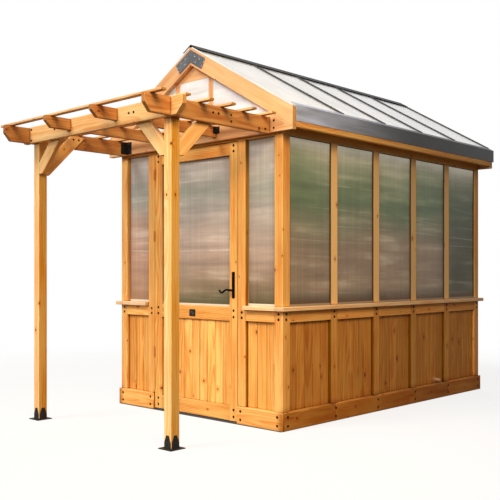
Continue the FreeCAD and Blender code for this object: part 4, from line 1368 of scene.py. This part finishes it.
@dataclass
class WallFill:
    """Upright boards and twin-wall panes of the four walls, with the panes' lips and beads."""

    kinds: tuple[WallKind, ...] = (
        # The side walls take shaded copies: painted shade in darker boards and beads, and in black
        # lips that are also real gaskets
        WallKind("side", ("right", "left"), SHADED_SIDE_BOARD_WOOD, SIDE_SHEET, BLACK_LIP,
                 "black_rubber", SIDE_BEAD),
        WallKind("end", ("front", "rear"), END_BOARD_WOOD, FRONT_SHEET, MILKY_LIP,
                 "wall_sheet", END_BEAD))
    joiner: Joiner = Joiner(0.8 * MM, 1)
    gasket: Gasket = Gasket()

    def build(self) -> None:
        """Plane the boards, coat the panes and seal them."""
        lips, beads = ({kind: bmesh.new() for kind in self.kinds} for _ in range(2))
        for kind in self.kinds:
            for wall in kind.walls:
                self.joiner.timber(f"{wall}_wall_boards", kind.wood, "frame", "board_wood")
                coat(f"{wall}_wall_glazing", kind.sheet)
                for pane in members(f"{wall}_wall_glazing"):
                    self.gasket.lay(lips[kind], beads[kind], pane)
        for kind, mesh in lips.items():
            settle(f"{kind.name}_pane_lips", mesh, [kind.lip], "frame", kind.lip_slot)
        for kind, mesh in beads.items():
            settle(f"{kind.name}_pane_beads", mesh, [kind.bead], "frame", "grey_steel")


@dataclass
class Roof:
    """Rafters, gable trusses, sheets, bars and flashings."""

    timbers: tuple[str, ...] = (
        "common_rafters", "ridge_board", "front_barge_boards", "rear_barge_boards",
        "front_tie_beam", "rear_tie_beam", "gable_studs", "gable_apex_panels")
    sheets: tuple[str, ...] = ("right_roof_glazing", "left_roof_glazing")
    bars: tuple[str, ...] = ("right_glazing_bars", "left_glazing_bars")
    joiner: Joiner = Joiner(2.0 * MM)
    folder: Joiner = Joiner(0.6 * MM, 1)
    bar_screw: Fastener = Fastener(Head.HEX, 3.6 * MM, 3.0 * MM)
    bar_screws: int = 5
    bar_lead: float = 0.6
    plate_screw: Fastener = Fastener(Head.SCREW, 4.6 * MM, 1.6 * MM)
    plate_spots: tuple[Span, ...] = (
        (0.32, 0.36), (0.62, 0.52), (0.90, 0.70), (0.36, 0.62), (0.80, 0.86))

    def build(self) -> None:
        """Plane the timbers, ease the metal's edges and coat the sheets."""
        for node in self.timbers:
            self.joiner.timber(node, ROOF_WOOD, "frame", "roof_wood")
        self.joiner.timber("eave_fascias", FRAME_WOOD, "frame", "roof_wood")
        for node in self.sheets:
            coat(node, ROOF_SHEET)
        coat("gable_glazing", GABLE_SHEET)
        for node in (*self.bars, "ridge_cap"):
            self.folder.metal(node, CHARCOAL, "frame", "charcoal_metal")
        self.folder.metal("eave_flashings", SATIN_CHARCOAL, "frame", "charcoal_metal")
        self.folder.metal("apex_plates", PLATE_STEEL, "frame", "grey_steel")
        self.drive_bar_screws()
        self.drive_plate_screws()

    def drive_bar_screws(self) -> None:
        """Put a row of screws along every glazing bar."""
        mesh = bmesh.new()
        gaps = self.bar_screws - 1 + 2 * self.bar_lead
        for bar in (bar for node in self.bars for bar in members(node)):
            length, _, thick = bar.spans
            for step in range(self.bar_screws):
                share = (step + self.bar_lead) / gaps - 0.5
                place = bar.centre + bar.along * (share * length) + bar.up * (thick / 2)
                self.bar_screw.drive(mesh, place, bar.up)
        settle("glazing_bar_screws", mesh, [CHARCOAL], "frame", "charcoal_metal")

    def drive_plate_screws(self) -> None:
        """Put screws round the arms of the plates at the two peaks."""
        mesh = bmesh.new()
        for plate in members("apex_plates"):
            outward = sign(plate.middle.y)
            for side in (-1.0, 1.0):
                for reach, drop in self.plate_spots:
                    place = Vector((side * reach * plate.hi.x, plate.face(1, outward),
                                    plate.height(1.0 - drop)))
                    self.plate_screw.drive(mesh, place, axis_vector(1, outward))
        settle("apex_plate_screws", mesh, [BRIGHT_STEEL], "frame", "latch_steel")


@dataclass
class Porch:
    """Pergola posts, header, rafters, slats and braces with their steel fittings."""

    timbers: ClassVar[dict[str, OiledTimber]] = {
        "pergola_posts": POST_WOOD, "pergola_header": PORCH_WOOD,
        "pergola_outer_rafters": SHADED_RAFTER_WOOD, "pergola_inner_rafters": SHADED_RAFTER_WOOD,
        "pergola_slats": SLAT_WOOD, "header_knee_braces": PORCH_WOOD,
        "rafter_knee_braces": PORCH_WOOD}
    joiner: Joiner = Joiner(2.4 * MM)
    folder: Joiner = Joiner(0.7 * MM, 1)
    bolt: Fastener = Fastener(Head.HEX, 5.0 * MM, 5.0 * MM)
    lag: Fastener = Fastener(Head.HEX, 5.0 * MM, 4.5 * MM)
    screw: Fastener = Fastener(Head.SCREW, 4.4 * MM, 1.2 * MM)
    steel: float = 3 * MM
    bolt_steps: Span = (55 * MM, 101 * MM)
    bolt_height: float = 2.006
    end_bolt: float = 0.715
    end_heights: Span = (1.960, 2.036)
    tie_bolt: float = 0.80
    tie_heights: Span = (1.976, 2.022)
    rafter_bolts: tuple[Span, ...] = (
        (0.045, 1.966), (0.105, 1.964), (0.36, 1.972), (0.36, 2.012))
    lag_shares: Span = (0.25, 0.75)
    wing_shift: float = 0.12
    tab_heights: Span = (0.030, 0.060)
    slat_steps: Span = (-9 * MM, 9 * MM)

    def build(self) -> None:
        """Plane the timbers, ease the steel's edges and drive the fasteners."""
        for node, finish in self.timbers.items():
            self.joiner.timber(node, finish, "frame", "porch_wood")
        for node in ("post_anchors", "rafter_hangers"):
            self.folder.metal(node, BLACK_COAT, "frame", "black_steel")
        self.drive_bolts()
        self.drive_steel_screws()
        self.drive_slat_screws()

    @staticmethod
    def rafters() -> tuple[Member, ...]:
        """Give the four rafters."""
        return members("pergola_outer_rafters") + members("pergola_inner_rafters")

    def drive_bolts(self) -> None:
        """Bolt the braces to the header and the outer rafters, and these to the house."""
        mesh = bmesh.new()
        header, rafters, tie = (
            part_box(node) for node in ("pergola_header", "pergola_outer_rafters", "front_tie_beam"))
        for brace in members("header_knee_braces"):
            side = sign(brace.lo.x)
            for step in self.bolt_steps:
                x = brace.face(0, -side) + side * step
                self.bolt.through(mesh, Vector((x, 0.0, self.bolt_height)), 1,
                                  (header[0].y, brace.hi.y))
        for brace in members("rafter_knee_braces"):
            side = sign(brace.lo.x)
            for step in self.bolt_steps:
                place = Vector((0.0, brace.hi.y - step, self.bolt_height))
                self.bolt.through(mesh, place, 0, (rafters[side > 0].x, brace.face(0, -side)))
        front = axis_vector(1, -1.0)
        for side in (-1.0, 1.0):
            for height in self.end_heights:
                self.bolt.drive(mesh, Vector((side * self.end_bolt, header[0].y, height)), front)
            for height in self.tie_heights:
                self.bolt.drive(mesh, Vector((side * self.tie_bolt, tie[0].y, height)), front)
            for back, height in self.rafter_bolts:
                place = Vector((rafters[side > 0].x, tie[0].y - back, height))
                self.bolt.drive(mesh, place, axis_vector(0, side))
        settle("porch_bolts", mesh, [BOLT_COAT], "frame", "black_steel")

    def drive_steel_screws(self) -> None:
        """Screw the hangers to the rafters and the anchors' tabs to the posts."""
        mesh = bmesh.new()
        for hanger in members("rafter_hangers"):
            middle = hanger.middle
            rafters = (rafter.centre.x for rafter in self.rafters())
            side = sign(middle.x - min(rafters, key=lambda x: abs(x - middle.x)))
            plate = hanger.face(0, -side) + side * self.steel
            wing = middle.x + side * self.wing_shift * (hanger.hi.x - hanger.lo.x)
            for share in self.lag_shares:
                z = hanger.height(share)
                self.lag.drive(mesh, Vector((wing, hanger.hi.y - self.steel, z)),
                               axis_vector(1, -1.0))
                self.lag.drive(mesh, Vector((plate, middle.y - self.steel, z)),
                               axis_vector(0, side))
        for post in members("pergola_posts"):
            for axis in (0, 1):
                faces = (post.lo[axis] - self.steel, post.hi[axis] + self.steel)
                for height in self.tab_heights:
                    place = Vector((*post.middle.xy, height))
                    self.lag.through(mesh, place, axis, faces)
        settle("porch_steel_screws", mesh, [BLACK_COAT], "frame", "black_steel")

    def drive_slat_screws(self) -> None:
        """Screw every slat to the four rafters below it."""
        mesh = bmesh.new()
        for slat in members("pergola_slats"):
            for rafter in self.rafters():
                for step in self.slat_steps:
                    place = Vector((rafter.centre.x + step, slat.middle.y + step / 2, slat.hi.z))
                    self.screw.drive(mesh, place, UP)
        settle("slat_screws", mesh, [BRIGHT_STEEL], "frame", "latch_steel")


@dataclass
class Door:
    """The boarded and glazed door with its hinges, latch and bare plate."""

    joiner: Joiner = Joiner(2.2 * MM)
    board_joiner: Joiner = Joiner(0.8 * MM, 1)
    smith: Joiner = Joiner(0.8 * MM, 2)
    lever_smith: Joiner = Joiner(2.2 * MM, 2, 2.0)
    hinges: tuple[tuple[str, str], ...] = (
        ("hinge_frame_leaves", "frame"), ("hinge_door_leaves", "door"), ("hinge_pins", "frame"))
    gasket: Gasket = Gasket()
    plug: Fastener = Fastener(Head.PLUG, 10.4 * MM, 1.0 * MM)
    plug_shares: Span = (0.28, 0.74)
    screw: Fastener = Fastener(Head.SCREW, 3.4 * MM, 0.9 * MM)
    screw_inset: float = 12 * MM
    plate_size: Place = (61 * MM, 4 * MM, 49 * MM)
    plate_place: Span = (-18 * MM, 743.5 * MM)
    plate_sunk: float = 0.5 * MM
    plate_corner: float = 5 * MM
    plate_corner_steps: int = 4
    plate_rim: float = 0.8 * MM
    plate_rim_steps: int = 2
    plate_screw_inset: float = 4.2 * MM
    panel_inset: float = 12 * MM
    panel_step: float = 0.6 * MM
    panel_depth: float = 0.8 * MM

    def build(self) -> None:
        """Build the leaf, the ironwork and the plate."""
        for node in ("door_stiles", "door_rails"):
            self.joiner.timber(node, DOOR_WOOD, "door", "door_wood")
        self.board_joiner.timber("door_boards", DOOR_WOOD, "door", "door_wood")
        coat("door_glazing", FRONT_SHEET)
        coat("door_sweep", SWEEP_RUBBER)
        lips, beads = bmesh.new(), bmesh.new()
        for pane in members("door_glazing"):
            self.gasket.lay(lips, beads, pane)
        settle("door_pane_lips", lips, [MILKY_LIP], "door", "wall_sheet")
        settle("door_pane_beads", beads, [END_BEAD], "door", "grey_steel")
        self.smith.metal("handle_plates", HANDLE_COAT, "door", "handle_black")
        self.lever_smith.metal("lever_handles", HANDLE_COAT, "lever", "handle_black")
        for node in ("lever_spindle", "latch_bolt", "strike_plate"):
            coat(node, BRIGHT_STEEL)
        for node, body in self.hinges:
            self.smith.metal(node, HINGE_COAT, body, "black_steel")
        self.drive_plugs()
        self.drive_plate_screws()
        self.fix_plate()

    def drive_plugs(self) -> None:
        """Put two plugs at each end of the three rails, on both faces of the stiles."""
        mesh = bmesh.new()
        for stile in members("door_stiles"):
            for rail in members("door_rails"):
                for share in self.plug_shares:
                    place = Vector((stile.middle.x, 0.0, rail.height(share)))
                    self.plug.through(mesh, place, 1, (stile.lo.y, stile.hi.y))
        settle("door_joint_plugs", mesh, [JOINT_PLUG], "door", "black_steel")

    def drive_plate_screws(self) -> None:
        """Screw the handle plates to the lock stile."""
        mesh = bmesh.new()
        plates = members("handle_plates")
        middle = sum(plate.centre.y for plate in plates) / len(plates)
        for plate in plates:
            way = sign(plate.centre.y - middle)
            for z in (plate.lo.z + self.screw_inset, plate.hi.z - self.screw_inset):
                place = Vector((plate.centre.x, plate.face(1, way), z))
                self.screw.drive(mesh, place, axis_vector(1, way))
        settle("handle_plate_screws", mesh, [HANDLE_COAT], "door", "handle_black")

    def fix_plate(self) -> None:
        """Fix a bare plate with a plain panel on the lock rail."""
        mesh = bmesh.new()
        wide, thick, _ = self.plate_size
        x, z = self.plate_place
        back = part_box("door_rails")[0].y + self.plate_sunk
        place = Matrix.Translation((x, back - thick / 2, z))
        bmesh.ops.create_cube(
            mesh, size=1.0, matrix=place @ Matrix.Diagonal((*self.plate_size, 1.0)))
        corners = [edge for edge in mesh.edges
                   if abs((edge.verts[0].co - edge.verts[1].co).y) > thick / 2]
        round_off(mesh, corners, self.plate_corner, self.plate_corner_steps)
        front = min(mesh.faces, key=lambda face: face.calc_center_median().y)
        round_off(mesh, list(front.edges), self.plate_rim, self.plate_rim_steps)
        front = min(mesh.faces, key=lambda face: face.calc_center_median().y)
        bmesh.ops.inset_region(mesh, faces=[front], thickness=self.panel_inset, depth=0.0)
        bmesh.ops.inset_region(
            mesh, faces=[front], thickness=self.panel_step, depth=-self.panel_depth)
        front.material_index = 1
        for side in (-1.0, 1.0):
            spot = Vector((x + side * (wide / 2 - self.plate_screw_inset), back - thick, z))
            self.screw.drive(mesh, spot, axis_vector(1, -1.0))
        settle("bare_door_plate", mesh, [BLACK_COAT, PLAIN_PANEL], "door", "black_steel")


@dataclass
class HoseInlet:
    """The pipe stub through the right wall, turned with two flanges and a thread."""

    pipe: float = 13.3 * MM
    bore: float = 9.5 * MM
    chamfer: float = 1 * MM
    mouth: float = 0.8 * MM
    inner_flange: Span = (19 * MM, 14 * MM)
    outer_flange: float = 5 * MM
    thread_from: float = 16 * MM
    thread_end: float = 3 * MM
    thread_pitch: float = 3.6 * MM
    thread_depth: float = 0.9 * MM
    groove: Span = (0.3, 0.7)
    tip: Span = (1.5 * MM, 1.2 * MM)
    steps: int = 36
    seam: float = 20 * WELD

    def outline(self, ends: Span, face: float, flange: float) -> list[Span]:
        """Draw half of the stub's section.

        Args:
            ends: Where the stub starts and ends on X.
            face: Outer face of the wall.
            flange: Radius of the flanges.

        Returns:
            Places on X and radii, from the inner end to the outer one.
        """
        start, stop = ends
        back, front = (face - depth for depth in self.inner_flange)
        rim = face + self.outer_flange
        points = [
            (start, self.bore), (start, self.pipe - self.mouth), (start + self.chamfer, self.pipe),
            (back, self.pipe), (back, flange - self.chamfer), (back + self.chamfer, flange),
            (front, flange), (front, self.pipe), (face, self.pipe), (face, flange),
            (rim - self.chamfer, flange), (rim, flange - self.chamfer), (rim, self.pipe)]
        root = self.pipe - self.thread_depth
        x = face + self.thread_from
        while x < stop - self.thread_end:
            points.append((x, self.pipe))
            points += [(x + share * self.thread_pitch, root) for share in self.groove]
            x += self.thread_pitch
        length, drop = self.tip
        return points + [(stop - length, self.pipe), (stop, self.pipe - drop), (stop, self.bore)]

    def build(self) -> None:
        """Turn the stub round the CAD fitting's own axis."""
        low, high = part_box("hose_inlet")
        centre = Vector((0.0, (low.y + high.y) / 2, (low.z + high.z) / 2))
        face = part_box("right_wall_boards")[1].x
        points = self.outline((low.x, high.x), face, (high.z - low.z) / 2)
        mesh = bmesh.new()
        verts = [mesh.verts.new((x, centre.y, centre.z + radius)) for x, radius in points]
        edges = [mesh.edges.new(pair) for pair in zip(verts, verts[1:] + verts[:1])]
        bmesh.ops.spin(mesh, geom=verts + edges, cent=centre, axis=(1, 0, 0), angle=FULL_TURN,
                       steps=self.steps, use_merge=True)
        bmesh.ops.remove_doubles(mesh, verts=mesh.verts, dist=self.seam)
        bmesh.ops.recalc_face_normals(mesh, faces=mesh.faces)
        smooth_curves(mesh)
        settle("hose_inlet_turned", mesh, [DULL_BRASS], "frame", "inlet_brass", "hose_inlet")


@dataclass(frozen=True)
class Sun:
    """A broad soft sun and the direction that it shines from."""

    name: str
    way: Place
    strength: float
    spread: float
    tone: Place = (1.0, 0.955, 0.89)

    def hang(self, scene: bpy.types.Scene) -> None:
        """Hang the sun in a scene."""
        lamp = bpy.data.lights.new(self.name, "SUN")
        lamp.energy = self.strength
        lamp.angle = math.radians(self.spread)
        lamp.color = self.tone
        sun = bpy.data.objects.new(self.name, lamp)
        sun.rotation_euler = Vector(self.way).to_track_quat("Z", "Y").to_euler()
        scene.collection.objects.link(sun)


@dataclass(frozen=True)
class Panel:
    """A soft square panel that faces a point."""

    name: str
    place: Place
    aim: Place
    power: float
    tone: Place
    size: float = 2.2
    spread: float = 74.0

    def hang(self, scene: bpy.types.Scene) -> None:
        """Hang the panel in a scene."""
        lamp = bpy.data.lights.new(self.name, "AREA")
        lamp.energy = self.power
        lamp.size = self.size
        lamp.spread = math.radians(self.spread)
        lamp.color = self.tone
        panel = bpy.data.objects.new(self.name, lamp)
        panel.location = self.place
        away = Vector(self.place) - Vector(self.aim)
        panel.rotation_euler = away.to_track_quat("Z", "Y").to_euler()
        scene.collection.objects.link(panel)


@dataclass
class Studio:
    """Pale floor, soft light and the camera at the photograph's place."""

    floor_size: float = 60.0
    floor_drop: float = 1 * MM
    floor_tone: Colour = tint(246, 246, 246)
    floor_white: float = 0.82
    floor_away: Span = (2.4, 6.0)
    mirror_white: float = 0.35
    bounce_tone: Colour = tint(90, 77, 58)
    earth_and_shade_tone: Colour = tint(30, 24, 18)
    earth_share: float = 0.9
    earth_x: tuple[Span, Span] = ((-0.862, -0.846), (0.862, 0.846))
    earth_y: tuple[Span, Span] = ((-0.845, -0.83), (1.86, 1.84))
    plain_rays: tuple[str, ...] = ("Is Camera Ray", "Is Glossy Ray", "Is Transmission Ray")
    sky_level: float = 0.15
    sky_tone: Colour = tint(255, 242, 224)
    lamps: tuple[Sun | Panel, ...] = (
        Sun("key_sun", (-0.24, -0.70, 0.70), 2.3, 24.0),
        Sun("low_sun", (0.14, -0.93, 0.30), 1.1, 34.0),
        Panel("fill_panel", (4.2, -3.4, 4.0), (0.9, -1.9, 1.1), 53.0, (1.0, 0.70, 0.35)),
        Panel("rear_panel", (-3.6, 5.6, 2.3), (-0.3, 1.4, 1.1), 40.0, (1.0, 0.94, 0.86)))
    camera_place: Place = (4.28, -4.762, 1.037)
    camera_yaw: float = 43.33
    lens: float = 57.96
    sensor: float = 36.0
    shift: float = 0.0442
    far_limit: float = 200.0

    def build(self) -> None:
        """Set the floor, the world, the lamps and the camera."""
        scene = bpy.context.scene
        scene.view_settings.view_transform = "Standard"
        self.lay_floor(scene)
        self.paint_world(scene)
        for lamp in self.lamps:
            lamp.hang(scene)
        self.stand_camera(scene)

    def lay_floor(self, scene: bpy.types.Scene) -> None:
        """Lay the floor just below the object.

        Args:
            scene: The scene.
        """
        mesh = bmesh.new()
        bmesh.ops.create_grid(mesh, x_segments=1, y_segments=1, size=self.floor_size / 2)
        bmesh.ops.translate(mesh, verts=mesh.verts, vec=(0.0, 0.0, -self.floor_drop))
        data = bpy.data.meshes.new("studio_floor")
        mesh.to_mesh(data)
        mesh.free()
        data.materials.append(self.floor_finish())
        floor = bpy.data.objects.new("studio_floor", data)
        scene.collection.objects.link(floor)

    def floor_finish(self) -> bpy.types.Material:
        """Build a floor that looks near white and shadowed outside, and dark inside with earth and
        painted shade.

        Returns:
            The material.
        """
        tree = Recipe.material("studio_floor_finish")
        camera, glossy, clear = tree.rays(*self.plain_rays)
        x, y, _ = tree.split(tree.place())
        away = (x * x + y * y).root().ease(*self.floor_away)
        earth = math.prod([x.ease(*span) for span in self.earth_x], start=1.0)
        earth = math.prod([y.ease(*span) for span in self.earth_y], start=earth)
        pale = tree.mix(camera, self.bounce_tone, self.floor_tone)
        # Painted shade: dark earth inside the footprint also darkens the gap under the door
        plain = tree.node("ShaderNodeBsdfDiffuse", sockets={
            "Color": tree.mix(earth, pale, self.earth_and_shade_tone)})
        white = tree.node("ShaderNodeEmission", sockets={"Color": WHITE, "Strength": 1.0})
        seen = camera * (self.floor_white + away * (1.0 - self.floor_white))
        seen = seen + glossy * self.mirror_white + clear * self.mirror_white
        mixed = tree.node("ShaderNodeMixShader", sockets={
            0: seen * (1.0 - earth * self.earth_share), 1: plain.outputs[0], 2: white.outputs[0]})
        tree.node("ShaderNodeOutputMaterial", sockets={"Surface": mixed.outputs[0]})
        return tree.owner

    def paint_world(self, scene: bpy.types.Scene) -> None:
        """Light softly from all round and show white to the camera and to glossy surfaces.

        Args:
            scene: The scene.
        """
        world = bpy.data.worlds.new("studio_world")
        scene.world = world
        tree = Recipe(world)
        camera, glossy, clear = tree.rays(*self.plain_rays)
        share = camera.math("MAXIMUM", camera, glossy.math("MAXIMUM", glossy, clear))
        soft, white = (
            tree.node("ShaderNodeBackground", sockets={"Color": tone, "Strength": level})
            for tone, level in ((self.sky_tone, self.sky_level), (WHITE, 1.0)))
        mixed = tree.node("ShaderNodeMixShader", sockets={
            0: share, 1: soft.outputs[0], 2: white.outputs[0]})
        tree.node("ShaderNodeOutputWorld", sockets={"Surface": mixed.outputs[0]})

    def stand_camera(self, scene: bpy.types.Scene) -> None:
        """Stand a level camera where the photograph was taken.

        Args:
            scene: The scene.
        """
        optics = bpy.data.cameras.new("photo_camera")
        optics.lens = self.lens
        optics.sensor_width = self.sensor
        optics.shift_y = self.shift
        optics.clip_end = self.far_limit
        camera = bpy.data.objects.new("photo_camera", optics)
        camera.location = self.camera_place
        camera.rotation_euler = (math.pi / 2, 0.0, math.radians(self.camera_yaw))
        scene.collection.objects.link(camera)
        scene.camera = camera


def main() -> None:
    """Build every sub-assembly in order."""
    logging.basicConfig(level=logging.INFO, format="%(message)s")
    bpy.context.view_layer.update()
    assemblies = (WallFrame(), WallFill(), Roof(), Porch(), Door(), HoseInlet(), Studio())
    for assembly in assemblies:
        LOG.info("%s", type(assembly).__name__)
        assembly.build()


if __name__ == "__main__":
    main()
